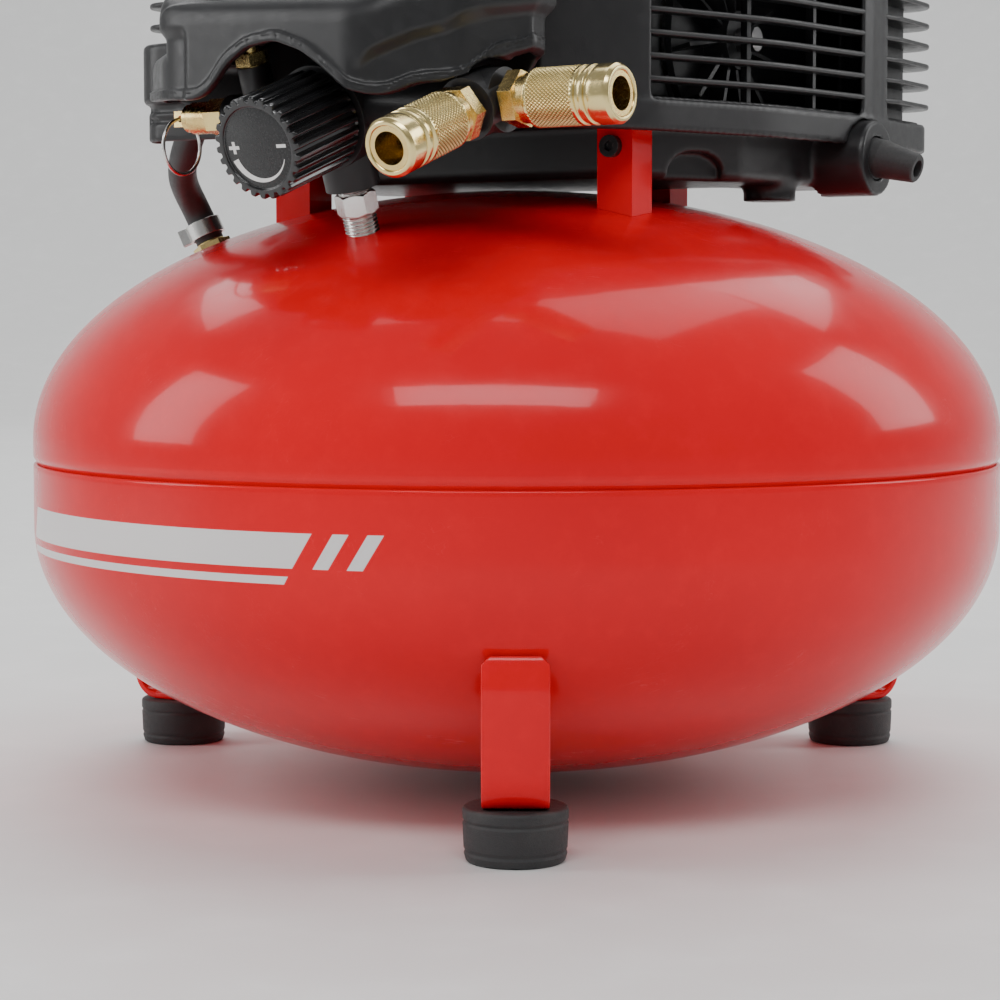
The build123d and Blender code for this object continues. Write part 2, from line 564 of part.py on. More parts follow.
# ---------------- inlet: check valve, hose, clamp ----------------
check = lathe(INLET, [(-9, 0), (-9, THREAD_R), (1.2, THREAD_R), (1.2, 6.2), (6, 6.2),
                      (6, 4.3), (16.5, 4.3), (16.5, 0)])
check += hex_rod(INLET, 0.6, 5.2, 15.0)
check -= rod(INLET, -10, 18, 2.6)
save(check, "check_valve")
hose = pipe([point(INLET, 6.3), point(INLET, 18.0), (-145.5, 15, 260),
             head_to_world(-109, -80, 288), head_to_world(-104, -72, 330),
             head_to_world(-94, -61, 370), head_to_world(-84, CRANK_Y, 393),
             head_to_world(-60.5, CRANK_Y, 402.5)],
            [INLET[1], head_to_world(1, 0, 0)], 6.2, scalars=(0.5, 0.3))
hose -= rod(INLET, 2, 17.0, 4.32)
save(hose, "transfer_hose")
clamp = rod(INLET, 8.5, 15.5, 8.0) - rod(INLET, 8, 16, 6.9)
clamp_side = INLET[1].cross(Vector(0, 1, 0)).normalized()
clamp_plane = Plane(origin=point(INLET, 12.0), x_dir=clamp_side * -1, z_dir=INLET[1])
clamp += clamp_plane * (Pos(-9.6, -1.5, 0) * Box(4, 1.2, 7) + Pos(-9.6, 1.5, 0) * Box(4, 1.2, 7))
save(clamp, "hose_clamp")

# ---------------- drain valve ----------------
drain = lathe(DRAIN, [(-9, 0), (-9, THREAD_R), (1.5, THREAD_R), (1.5, 7.6), (9, 7.6),
                      (9, 6.2), (12.5, 6.2), (12.5, 0)])
drain -= rod(DRAIN, 3, 13, 3.05)
drain -= rod(DRAIN, -10, 5, 1.5)
save(drain, "drain_valve_body")
drain_knob = rod(DRAIN, 5, 14, 3.0)
drain_face = ribbed_face(20, ((0.0, 9.0), (0.5, 9.0), (0.6, 8.3), (0.9, 8.3)))
drain_knob += Plane(origin=point(DRAIN, 13.0), z_dir=DRAIN[1]) * extrude(drain_face, 6.5)
drain_knob -= rod(DRAIN, 4, 21, 1.2)
save(drain_knob, "drain_knob")

# ---------------- pump (head frame) ----------------
CASE_X0, CASE_X1 = -54.0, -42.0                # crankcase wall that carries the crank
CASE_Y0, CASE_Y1 = CRANK_Y - 26, CRANK_Y + 26
CYL_Z = 334                                    # top of the crankcase
floor = TRAY_Z + TRAY_T + 0.05
crankcase = box(CASE_X0, CASE_X1, CASE_Y0, CASE_Y1, floor, 330) \
    + box(CASE_X0, 4, CASE_Y0, CASE_Y1, 326, CYL_Z)
crankcase += box(-2, 4, CASE_Y0, CASE_Y1, floor, CYL_Z)
crankcase -= rod(CRANK, CASE_X0 - 1, CASE_X1 + 1, 6.05)
crankcase -= rod(CYLINDER, 320, 340, 22.0)
save(HEAD * crankcase, "crankcase")

cylinder = rod(CYLINDER, CYL_Z + 0.05, 392, 26.0) \
    + box(CASE_X0, 4, CASE_Y0, CASE_Y1, CYL_Z + 0.05, 338)
for z in range(344, 390, 7):                   # cooling fins
    cylinder += rod(CYLINDER, z, z + 2, 31.0)
cylinder -= rod(CYLINDER, 330, 395, BORE_R)
save(HEAD * cylinder, "cylinder")

head_y0, head_y1 = CRANK_Y - 28, CRANK_Y + 28
head = box(CYL_X - 30, CYL_X + 30, head_y0, head_y1, 396, 400) \
    + rod(CYLINDER, 392.05, 397, 29.0)
for i in range(7):
    fin_x = CYL_X - 30 + i * 9.6
    head += box(fin_x, fin_x + 2.4, head_y0, head_y1, 399, 408.5)
hose_port = line_x(CRANK_Y, 402.5)
head += rod(hose_port, CYL_X - 35, CYL_X - 15, 5.5)
head -= rod(hose_port, CYL_X - 36, CYL_X - 24, 3.0)
save(HEAD * head, "cylinder_head")

groove_r = FLYWHEEL_R - FLYWHEEL_GROOVE
flywheel = rod(CRANK, -74, -58, FLYWHEEL_R) \
    - (rod(CRANK, -71, -61, FLYWHEEL_R + 1) - rod(CRANK, -71, -61, groove_r))
flywheel = flywheel - [
    rod(line_x(CRANK_Y + 17 * cos(i * pi / 3), CRANK_Z + 17 * sin(i * pi / 3)), -75, -57, 6)
    for i in range(6)]
flywheel += rod(CRANK, -60, -37, 6.0)
flywheel += rod(CRANK, -39, -33, 14.0)
flywheel += rod(CRANK_PIN, -34, -18, 4.0)
save(HEAD * flywheel, "flywheel_pulley")

conrod = rod(CRANK_PIN, CYL_X - 4, CYL_X + 4, 8.0) \
    + box(CYL_X - 3, CYL_X + 3, CRANK_Y - 3.5, CRANK_Y + 3.5, CRANK_Z + THROW + 5, 360) \
    + rod(line_x(CRANK_Y, 361), CYL_X - 4, CYL_X + 4, 5.5)
conrod -= rod(CRANK_PIN, CYL_X - 5, CYL_X + 5, 4.05)
save(HEAD * conrod, "connecting_rod")

piston = rod(CYLINDER, 357, 391, PISTON_R) - rod(CYLINDER, 356, 387.5, 19.8)
piston -= Pos(CYL_X, CRANK_Y, 383.0) * (post(24, 2) - post(22.4, 2))
save(HEAD * piston, "piston")

# ---------------- motor (head frame) ----------------
stator = rod(ARMATURE, 12, 66, 39.0) - rod(ARMATURE, 11, 67, 27.5)
for side in (-1, 1):                           # flats front and rear
    stator -= box(11, 67, ARM_Y + side * 34, ARM_Y + side * 39, 270, 360)
stator += rod(ARMATURE, 6, 12.5, 35) - rod(ARMATURE, 5, 13, 28.5)
stator += rod(ARMATURE, 65.5, 72, 35) - rod(ARMATURE, 65, 73, 28.5)
save(HEAD * stator, "motor_stator")

motor_brackets = []
bracket_foot = TUB_Z + 2.7
for x0, x1 in ((-12, -6), (76, 82)):
    bracket = box(x0, x1, ARM_Y - 20, ARM_Y + 20, bracket_foot, 330) \
        + rod(ARMATURE, x0, x1, 24)
    bracket += box(x0 - 5, x1 + 5, ARM_Y - 20, ARM_Y + 20, bracket_foot, 261)
    bracket -= rod(ARMATURE, x0 - 1, x1 + 1, 5.05)
    bracket -= box(x0 - 1, x1 + 1, ARM_Y - 10, ARM_Y + 10, 264, 290)
    motor_brackets.append(HEAD * bracket)
save_set(motor_brackets, "motor_brackets")

shaft = rod(ARMATURE, -76, 108, 5.0) + rod(ARMATURE, 16, 62, 26.5)
shaft += rod(ARMATURE, 62, 68, 20) + rod(ARMATURE, 10, 16, 20)
shaft += rod(ARMATURE, -2, 8, 12)
save(HEAD * shaft, "armature_shaft")

pulley = lathe(ARMATURE, [(-73.5, 5.0), (-73.5, 13.5), (-72, 13.5), (-71, PULLEY_R),
                          (-61, PULLEY_R), (-60, 13.5), (-58.5, 13.5), (-58.5, 5.0)])
save(HEAD * pulley, "motor_pulley")

BLADES = 11
fan = rod(ARMATURE, 86, 89, 39) + rod(ARMATURE, 86, 100, 12)
blade = Pos(93, 0, 23.5) * Rot(0, 0, 12) * Box(9, 1.8, 30.6)
for i in range(BLADES):
    fan += Pos(0, ARM_Y, ARM_Z) * Rot(360 / BLADES * i, 0, 0) * blade
fan -= rod(ARMATURE, 80, 110, 5.0)
save(HEAD * fan, "cooling_fan")


def belt_face(gap):
    """Area within a taut loop that stands off both grooves by the gap."""
    return make_hull((Pos(CRANK_Y, CRANK_Z) * Circle(groove_r + gap)).edges()
                     + (Pos(ARM_Y, ARM_Z) * Circle(PULLEY_R + gap)).edges())


belt = extrude(Plane.YZ * (belt_face(2.6) - belt_face(0.15)), 8.4)
save(HEAD * (Pos(-70.2, 0, 0) * belt), "drive_belt")

# ---------------- cord boot and lead (head frame) ----------------
droop = radians(-16)
boot_tail = (Vector(136.0, BOOT_Y, BOOT_Z), Vector(cos(droop), 0, sin(droop)))
boot = lathe(boot_tail, [(-4, 0), (-4, 7.9), (1.5, 8.2), (17.5, 6.2), (18.2, 5.6), (18.2, 0)])
boot += rod(BOOT, 106, 134.5, 8.9)
boot += rod(BOOT, 103, 106.5, 12.5) & box(100, 110, 50, 100, 257.8, 290)
boot -= rod(boot_tail, -1, 25, 3.65)
boot -= rod(BOOT, 100, 135.5, 3.6)
save(HEAD * boot, "cord_boot")
lead = pipe([point(BOOT, 102.8), (90, 62, 266), (60, 40, 265.5), (46, 5, 265),
             (38, -24, 277), (29, -56, 295), (6, -100, 306), point(SWITCH, -30.3)],
            [(-1, 0, 0), PANEL_DIR], 3.4)
save(HEAD * lead, "mains_lead")
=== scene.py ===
"""Pancake air compressor: a red tank on three legs, with a black pump housing and front console.

Machine frame: origin on the tank's axis at floor level, +x right, -y front, +z up. Shapes are
worked out in millimetres and turned into metres when a mesh is made. Two frames sit inside it:
the head frame (u right, v back, z up), yawed about z, and the tilted regulator frame.
"""
import functools
import json
import math
import bpy
import numpy as np
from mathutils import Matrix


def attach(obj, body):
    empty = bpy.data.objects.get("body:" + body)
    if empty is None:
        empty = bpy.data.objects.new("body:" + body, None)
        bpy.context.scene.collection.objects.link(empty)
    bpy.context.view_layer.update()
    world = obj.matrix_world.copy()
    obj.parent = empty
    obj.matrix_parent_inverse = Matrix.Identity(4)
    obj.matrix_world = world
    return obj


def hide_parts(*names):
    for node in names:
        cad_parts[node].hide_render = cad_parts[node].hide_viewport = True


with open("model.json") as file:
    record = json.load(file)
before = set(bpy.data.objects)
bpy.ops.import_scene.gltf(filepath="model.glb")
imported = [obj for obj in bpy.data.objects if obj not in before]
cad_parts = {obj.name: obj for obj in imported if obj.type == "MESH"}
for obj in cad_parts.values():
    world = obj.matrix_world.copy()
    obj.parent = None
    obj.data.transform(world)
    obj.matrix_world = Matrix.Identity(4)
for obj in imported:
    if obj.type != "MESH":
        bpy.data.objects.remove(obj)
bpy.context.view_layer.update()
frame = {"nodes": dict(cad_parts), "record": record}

import openvdb as vdb
from mathutils import Vector

# ---------------------------------------------------------------- frames (mm)
HEAD_YAW = math.radians(-32.0)
HEAD_RIGHT = np.array([1.0, 0, 0])
VERTICAL = (0, 0, 1)

# Regulator frame: x right, y back, z up; the knob points along FRONT.
TURN, TILT = math.radians(-34.19), math.radians(19.34)
RIGHT = np.array([math.cos(TURN), math.sin(TURN), 0.0])
UP = np.array([math.sin(TURN) * math.sin(TILT), -math.cos(TURN) * math.sin(TILT), math.cos(TILT)])
FRONT = np.array([math.sin(TURN) * math.cos(TILT), -math.cos(TURN) * math.cos(TILT),
                  -math.sin(TILT)])
REGULATOR_CENTRE = np.array([-68.9, -119.2, 278.4])
COUPLER_X = 66.9            # both couplers, right of the knob
RIGHT_COUPLER_BACK = 3.0

# Sloping console panel, in the head frame
PANEL_NORMAL = np.array([0.0, -53.0, 62.0]) / math.hypot(53, 62)
PANEL_V, PANEL_Z = -137.7, 344.1
GAUGES_U = (-42.0, 38.0)
SWITCH_U = sum(GAUGES_U) / 2

# Plan outlines, (u, v) in the head frame, with a corner radius for each point
HEAD_PLAN = [(-120, -108), (66, -108), (98, -62), (122, 10), (131, 80), (127, 152),
             (-112, 152), (-124, 60)]
COVER_RADII = [13, 14, 90, 160, 16, 14, 13, 60]
TRAY_RADII = [12, 14, 60, 120, 16, 14, 12, 40]
TUB_PLAN = [(-69, -51.5), (84.4, -51.5), (84.4, -37), (106, 6), (114, 70), (108, 102),
            (74, 102), (70, 54.6), (-98, 54.6), (-104, 42), (-104, -36), (-69, -36)]
TUB_RADII = [9, 7, 9, 20, 20, 8, 5, 5, 6, 6, 5, 2]
CONSOLE_PLAN = [(-100, -108.3), (-88, -140), (-58, -168), (40, -174), (72, -158), (88, -124),
                (86, -108.3)]
CONSOLE_RADII = [0.5, 22, 34, 30, 22, 8, 0.5]

WALL = 2.6                  # moulded wall of the covers, console and tray
BOSS_V, BOSS_Z, BOSS_RADIUS = 74, 266.5, 16.0       # round boss on the tray's right side
COARSE = 1.0                 # grid and knurl step factor


def turned(points, angle):
    """Points turned about the vertical axis."""
    points = np.asarray(points, float)
    c, s = math.cos(angle), math.sin(angle)
    x, y, z = points[..., 0], points[..., 1], points[..., 2]
    return np.stack([x * c - y * s, x * s + y * c, z], -1)


def from_head(points):
    return turned(points, HEAD_YAW)


def at_regulator(x, y, z):
    """Machine frame place of a point in the regulator frame."""
    return REGULATOR_CENTRE + RIGHT * x - FRONT * y + UP * z


# ---------------------------------------------------------------- materials
class Graph:
    """One material's node tree. Noise sizes are in mm."""

    def __init__(self, name):
        self.material = bpy.data.materials.new(name)
        self.material.use_nodes = True
        self.tree = self.material.node_tree
        self.surface = self.tree.nodes["Principled BSDF"].inputs
        self.place = self.add("ShaderNodeTexCoord").outputs["Object"]

    def add(self, kind, **settings):
        node = self.tree.nodes.new(kind)
        for key, value in settings.items():
            setattr(node, key, value)
        return node

    def feed(self, socket, value):
        """Link a socket, or set it to a number or a colour."""
        if isinstance(value, bpy.types.NodeSocket):
            self.tree.links.new(value, socket)
        else:
            socket.default_value = (*value, 1) if isinstance(value, tuple) else value

    def math(self, operation, *values, clamp=False):
        node = self.add("ShaderNodeMath", operation=operation, use_clamp=clamp)
        for socket, value in zip(node.inputs, values):
            self.feed(socket, value)
        return node.outputs[0]

    def plus(self, a, b, clamp=False):
        return self.math("ADD", a, b, clamp=clamp)

    def times(self, a, b):
        return self.math("MULTIPLY", a, b)

    def mix(self, amount, under, over):
        node = self.add("ShaderNodeMix", data_type="RGBA", blend_type="MIX")
        for index, value in ((0, amount), (6, under), (7, over)):
            self.feed(node.inputs[index], value)
        return node.outputs[2]

    def noise(self, size, detail, rough=0.55, stretch=None):
        place = self.place
        if stretch:
            mapping = self.add("ShaderNodeMapping")
            mapping.inputs["Scale"].default_value = stretch
            self.feed(mapping.inputs["Vector"], place)
            place = mapping.outputs[0]
        node = self.add("ShaderNodeTexNoise")
        node.inputs["Scale"].default_value = 1000.0 / size
        node.inputs["Detail"].default_value = detail
        node.inputs["Roughness"].default_value = rough
        self.feed(node.inputs["Vector"], place)
        return node.outputs["Fac"]

    def ramp(self, value, over, to=(0.0, 1.0)):
        """Smooth step of a value over one range to another."""
        node = self.add("ShaderNodeMapRange", interpolation_type="SMOOTHSTEP")
        for end, start_value, end_value in (("Min", over[0], to[0]), ("Max", over[1], to[1])):
            node.inputs["From " + end].default_value = start_value
            node.inputs["To " + end].default_value = end_value
        self.feed(node.inputs["Value"], value)
        return node.outputs[0]

    def bevel(self, radius):
        node = self.add("ShaderNodeBevel", samples=4)
        node.inputs["Radius"].default_value = radius / 1000
        return node.outputs[0]

    def bump(self, height, bevel=0.0):
        """Relief in mm over an optional rounded edge, fed to the surface."""
        node = self.add("ShaderNodeBump")
        node.inputs["Distance"].default_value = 0.001
        self.feed(node.inputs["Height"], height)
        if bevel:
            self.feed(node.inputs["Normal"], self.bevel(bevel))
        self.feed(self.surface["Normal"], node.outputs[0])
        return node.outputs[0]


def add_scratches(g, amount, color, shade, rough):
    """Thin paler lines, in patches."""
    streak = g.noise(size=5.0, detail=2, rough=0.5, stretch=(0.25, 4.0, 1.0))
    from_middle = g.math("ABSOLUTE", g.math("SUBTRACT", streak, 0.5))
    line = g.math("SUBTRACT", 1.0, g.ramp(from_middle, over=(0.0, 0.012)))
    patches = g.ramp(g.noise(size=34, detail=2), over=(0.52, 0.66), to=(0.0, amount))
    line = g.times(line, patches)
    strength = 0.35
    rough = g.plus(rough, g.times(line, strength))
    pale = tuple(min(1, c * 1.6 + 0.03) for c in color)
    return g.mix(g.times(line, strength), shade, pale), rough


def add_wear(g, geometry, metal_color, shade):
    """Bare metal in patches along the edges."""
    dot = g.add("ShaderNodeVectorMath", operation="DOT_PRODUCT")
    g.feed(dot.inputs[0], g.bevel(1.1))
    g.feed(dot.inputs[1], geometry.outputs["Normal"])
    edge = g.ramp(dot.outputs["Value"], over=(0.985, 0.90))
    patches = g.ramp(g.noise(size=4.0, detail=4, rough=0.7), over=(0.5, 0.62), to=(0.0, 0.8))
    return g.mix(g.times(edge, patches), shade, metal_color)


def add_dust(g, geometry, amount, shade, rough):
    """Grey dust on faces that look up."""
    parts = g.add("ShaderNodeSeparateXYZ")
    g.feed(parts.inputs[0], geometry.outputs["Normal"])
    dust = g.times(g.ramp(parts.outputs[2], over=(0.25, 1.0)),
                   g.ramp(g.noise(size=9, detail=6, rough=0.7), over=(0.4, 0.72)))
    dust = g.times(dust, amount)
    shade = g.mix(dust, shade, (0.36, 0.34, 0.31))
    return shade, g.plus(rough, g.times(dust, 0.4), clamp=True)


def material(name, *, color, tint, rough, mottle, grain, metal=0.0, coat=(0.0, 0.03), bevel=0.35,
             dust=0.0, scratch=0.0, peel=None, brush=None, specular=0.5, paint=None, wear=None,
             speckle=0.0):
    """Base colour mottled towards a tint, with surface relief. Lengths are in mm.

    rough is (mean, spread), mottle (strength, patch size), grain and peel (size, depth),
    coat (weight, roughness), brush a noise stretch, wear a colour, paint a function.
    """
    g = Graph(name)
    strength, patch = mottle
    big = g.noise(size=patch, detail=3, rough=0.5)
    middle = g.noise(size=patch / 9, detail=5, rough=0.6)
    shade = g.mix(g.ramp(big, over=(0.35, 0.68), to=(0.0, strength)), color, tint)
    shade = g.mix(g.ramp(middle, over=(0.45, 0.75), to=(0.0, strength * 0.5)), shade,
                  tuple(min(1, c * 1.25 + 0.004) for c in color))
    if speckle:
        specks = g.noise(size=grain[0] * 1.4, detail=2, rough=0.6)
        shade = g.mix(g.ramp(specks, over=(0.5, 0.72), to=(0.0, speckle)), shade,
                      tuple(c * 0.4 for c in color))
    mean, spread = rough
    rough = g.plus(g.ramp(middle, over=(0.3, 0.7), to=(-spread / 2, spread / 2)), mean)
    if paint:
        shade, rough = paint(g, shade, rough)
    height = g.ramp(g.noise(size=grain[0], detail=3, rough=0.6), over=(0.25, 0.75),
                    to=(0.0, grain[1]))
    if peel:
        waves = g.noise(size=peel[0], detail=1, rough=0.4)
        height = g.plus(height, g.ramp(waves, over=(0.2, 0.8), to=(0.0, peel[1])))
    if brush:
        lines = g.noise(size=0.5, detail=4, rough=0.7, stretch=brush)
        height = g.plus(height, g.ramp(lines, over=(0.3, 0.7), to=(0.0, 0.012)))
        rough = g.plus(rough, g.ramp(lines, over=(0.3, 0.7), to=(-0.06, 0.08)))
    if scratch:
        shade, rough = add_scratches(g, scratch, color, shade, rough)
    if wear or dust:
        geometry = g.add("ShaderNodeNewGeometry")
    if wear:
        shade = add_wear(g, geometry, wear, shade)
    if dust:
        shade, rough = add_dust(g, geometry, dust, shade, rough)
    for socket, value in (("Base Color", shade), ("Roughness", rough), ("Metallic", metal),
                          ("Specular IOR Level", specular), ("Coat Weight", coat[0]),
                          ("Coat Roughness", coat[1])):
        g.feed(g.surface[socket], value)
    normal = g.bump(height, bevel)
    if coat[0]:
        g.feed(g.surface["Coat Normal"], normal)
    return g.material


def stripes(g, shade, rough):
    """Pale bands with slanted ends on the tank's lower shell (heights in m)."""
    blur_z, blur_along = 0.0001, 0.001
    # bottom, top, start, end; the last two are angles from the front at z = 0
    bands = ((0.1085, 0.1215, -1.63, -0.73), (0.1025, 0.1055, -1.63, -0.73),
             (0.1085, 0.1215, -0.69, -0.66), (0.1085, 0.1215, -0.625, -0.595))
    parts = g.add("ShaderNodeSeparateXYZ")
    g.feed(parts.inputs[0], g.place)
    x, y, z = parts.outputs
    angle = g.math("ARCTAN2", x, g.times(y, -1.0))
    along = g.plus(angle, g.times(z, -3.0))
    painted = None
    for bottom, top, start, end in bands:
        across = g.times(g.ramp(z, over=(bottom - blur_z, bottom + blur_z)),
                         g.ramp(z, over=(top + blur_z, top - blur_z)))
        length = g.times(g.ramp(along, over=(start - blur_along, start + blur_along)),
                         g.ramp(along, over=(end + blur_along, end - blur_along)))
        band = g.times(across, length)
        painted = g.math("MAXIMUM", painted, band) if painted else band
    shade = g.mix(g.times(painted, 0.96), shade, (0.80, 0.80, 0.79))
    return shade, g.plus(rough, g.times(painted, 0.12))


def knurl_painted_shade(g, shade, rough):
    """Painted shade: darker, duller metal down in the knurl's cuts."""
    attribute = g.add("ShaderNodeAttribute", attribute_name="cut")
    # painted shade: the deeper the cut, the darker and browner the brass
    depth = g.ramp(attribute.outputs["Fac"], over=(0.15, 0.85), to=(0.0, 0.72))
    return g.mix(depth, shade, (0.20, 0.13, 0.04)), g.plus(rough, g.times(depth, 0.25))


def clear_lens():
    g = Graph("clear_lens")
    shade = g.mix(g.ramp(g.noise(size=9, detail=3), over=(0.4, 0.7)),
                  (0.95, 0.97, 0.97), (0.88, 0.91, 0.91))
    rough = g.ramp(g.noise(size=5, detail=4), over=(0.35, 0.7), to=(0.02, 0.07))
    for socket, value in (("Base Color", shade), ("Roughness", rough),
                          ("Transmission Weight", 1.0), ("IOR", 1.08), ("Coat Weight", 0.6)):
        g.feed(g.surface[socket], value)
    g.bump(g.ramp(g.noise(size=12, detail=1), over=(0.2, 0.8), to=(0.0, 0.004)))
    return g.material


RED_ENAMEL = dict(
    color=(0.80, 0.0012, 0.010), tint=(0.62, 0.0010, 0.008), rough=(0.2, 0.06),
    mottle=(0.3, 90), grain=(0.9, 0.0015), coat=(0.24, 0.035), dust=0.02, peel=(3.2, 0.005),
    specular=0.16)

MATERIALS = {
    "tank_red": material("red_enamel", **RED_ENAMEL, bevel=0.5, scratch=0.25),
    "tank_paint": material("red_enamel_striped", **RED_ENAMEL, bevel=0.0, scratch=0.3,
                           paint=stripes),
    "tank_inner_steel": material(
        "mill_steel", color=(0.42, 0.41, 0.40), tint=(0.3, 0.24, 0.2), metal=1,
        rough=(0.42, 0.12), mottle=(0.5, 30), grain=(0.5, 0.02)),
    "bright_steel": material(
        "bright_steel", color=(0.78, 0.77, 0.75), tint=(0.6, 0.58, 0.55), metal=1,
        rough=(0.16, 0.1), mottle=(0.4, 12), grain=(0.4, 0.006), brush=(1, 1, 8)),
    "zinc_steel": material(
        "zinc_plate", color=(0.66, 0.66, 0.64), tint=(0.62, 0.56, 0.42), metal=1,
        rough=(0.3, 0.15), mottle=(0.6, 8), grain=(0.4, 0.012)),
    "black_steel": material(
        "black_oxide", color=(0.022, 0.022, 0.023), tint=(0.012, 0.012, 0.012), metal=0.35,
        rough=(0.34, 0.14), mottle=(0.4, 20), grain=(0.5, 0.012), dust=0.05,
        wear=(0.22, 0.21, 0.2), scratch=0.3),
    "brass": material(
        "brass", color=(0.82, 0.63, 0.27), tint=(0.66, 0.42, 0.14), metal=1,
        rough=(0.2, 0.12), mottle=(0.45, 11), grain=(0.35, 0.006), brush=(1, 1, 6), bevel=0.22),
    # brass with painted shade down in the knurl's cuts
    "sleeve_brass": material(
        "brass_sleeve", color=(0.84, 0.68, 0.32), tint=(0.72, 0.54, 0.2), metal=1,
        rough=(0.2, 0.1), mottle=(0.4, 11), grain=(0.35, 0.004), bevel=0.0, paint=knurl_painted_shade),
    "aluminium": material(
        "aluminium", color=(0.70, 0.70, 0.71), tint=(0.55, 0.55, 0.56), metal=1,
        rough=(0.3, 0.15), mottle=(0.4, 18), grain=(0.4, 0.012)),
    "cast_alloy": material(
        "cast_alloy", color=(0.42, 0.42, 0.43), tint=(0.3, 0.3, 0.3), metal=0.9,
        rough=(0.55, 0.15), mottle=(0.5, 22), grain=(1.1, 0.09), bevel=0.8, dust=0.08,
        speckle=0.25),
    "motor_steel": material(
        "motor_laminations", color=(0.36, 0.36, 0.37), tint=(0.25, 0.2, 0.16), metal=1,
        rough=(0.42, 0.15), mottle=(0.5, 25), grain=(0.5, 0.02), brush=(8, 1, 1)),
    "foot_rubber": material(
        "foot_rubber", color=(0.030, 0.030, 0.031), tint=(0.05, 0.049, 0.047),
        rough=(0.62, 0.14), mottle=(0.5, 16), grain=(0.5, 0.05), dust=0.10, speckle=0.3,
        bevel=0.6),
    "hose_rubber": material(
        "hose_rubber", color=(0.034, 0.034, 0.035), tint=(0.05, 0.05, 0.05),
        rough=(0.5, 0.12), mottle=(0.4, 20), grain=(0.4, 0.03), dust=0.06, speckle=0.2),
    "grip_rubber": material(
        "grip_rubber", color=(0.026, 0.026, 0.027), tint=(0.04, 0.04, 0.04),
        rough=(0.66, 0.1), mottle=(0.4, 22), grain=(0.6, 0.07), dust=0.06, speckle=0.3),
    "belt_rubber": material(
        "belt_rubber", color=(0.02, 0.02, 0.02), tint=(0.05, 0.045, 0.04),
        rough=(0.7, 0.1), mottle=(0.4, 9), grain=(0.5, 0.05)),
    "black_plastic": material(
        "black_plastic", color=(0.015, 0.015, 0.016), tint=(0.022, 0.022, 0.023),
        rough=(0.36, 0.1), mottle=(0.5, 45), grain=(0.45, 0.016), bevel=0.3, dust=0.04,
        scratch=0.25, specular=0.4),
    "knob_plastic": material(
        "knob_plastic", color=(0.012, 0.012, 0.013), tint=(0.02, 0.02, 0.02),
        rough=(0.14, 0.08), mottle=(0.4, 16), grain=(0.5, 0.004), coat=(0.35, 0.08), bevel=0.3),
    "label_film": material(
        "label_film", color=(0.014, 0.014, 0.015), tint=(0.022, 0.022, 0.022),
        rough=(0.26, 0.08), mottle=(0.4, 9), grain=(0.3, 0.004), bevel=0.1),
    "print_white": material(
        "print_white", color=(0.82, 0.82, 0.80), tint=(0.7, 0.7, 0.68),
        rough=(0.4, 0.1), mottle=(0.3, 6), grain=(0.3, 0.004), bevel=0.0),
    "print_black": material(
        "print_black", color=(0.02, 0.02, 0.02), tint=(0.03, 0.03, 0.03),
        rough=(0.4, 0.1), mottle=(0.3, 6), grain=(0.3, 0.004), bevel=0.0),
    "rocker_red": material(
        "rocker_red", color=(0.70, 0.012, 0.01), tint=(0.5, 0.01, 0.01),
        rough=(0.22, 0.08), mottle=(0.3, 9), grain=(0.4, 0.006), coat=(0.3, 0.03), bevel=0.5),
    "dial_white": material(
        "dial_white", color=(0.84, 0.84, 0.81), tint=(0.76, 0.75, 0.7),
        rough=(0.45, 0.1), mottle=(0.4, 12), grain=(0.3, 0.006)),
    "needle_black": material(
        "needle_black", color=(0.015, 0.015, 0.016), tint=(0.03, 0.03, 0.03),
        rough=(0.35, 0.1), mottle=(0.3, 6), grain=(0.3, 0.004), bevel=0.08),
    "clear_lens": clear_lens(),
}


# ---------------------------------------------------------------- meshes
def build(name, solid, look, replaced=None, body="frame_body", sharp=30.0):
    """Object from (points in mm, faces); edges over `sharp` degrees are sharp, 0 for none."""
    points, faces = solid
    points = np.asarray(points, float) / 1000.0
    mesh = bpy.data.meshes.new(name)
    if isinstance(faces, np.ndarray):
        mesh.vertices.add(len(points))
        mesh.vertices.foreach_set("co", points.astype(np.float32).ravel())
        mesh.loops.add(faces.size)
        mesh.loops.foreach_set("vertex_index", faces.astype(np.int32).ravel())
        mesh.polygons.add(len(faces))
        starts = np.arange(0, faces.size, faces.shape[1], dtype=np.int32)
        mesh.polygons.foreach_set("loop_start", starts)
        mesh.update(calc_edges=True)
    else:
        mesh.from_pydata([tuple(p) for p in points], [], faces)
    mesh.validate()
    mesh.polygons.foreach_set("use_smooth", [True] * len(mesh.polygons))
    if sharp:
        mesh.set_sharp_from_angle(angle=math.radians(sharp))
    mesh.materials.append(MATERIALS[look])
    made = bpy.data.objects.new(name, mesh)
    bpy.context.scene.collection.objects.link(made)
    if body:
        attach(made, body)
    if replaced:
        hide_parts(replaced)
    return made


def volume(points, faces):
    """Signed volume (times six) inside an array of triangles or quads."""
    a, b, c = (points[faces[:, i]] for i in range(3))
    total = np.einsum("ij,ij->i", a, np.cross(b, c)).sum()
    if faces.shape[1] == 4:
        total += np.einsum("ij,ij->i", a, np.cross(c, points[faces[:, 3]])).sum()
    return total


def strips(rows, around, wrap):
    """Quads between rows of a grid closed around; wrap joins the last row to the first."""
    i, j = np.meshgrid(np.arange(rows if wrap else rows - 1), np.arange(around), indexing="ij")
    i, j = i.ravel(), j.ravel()
    here, after = i * around, (i + 1) % rows * around
    following = (j + 1) % around
    return np.stack([here + j, here + following, after + following, after + j], 1)


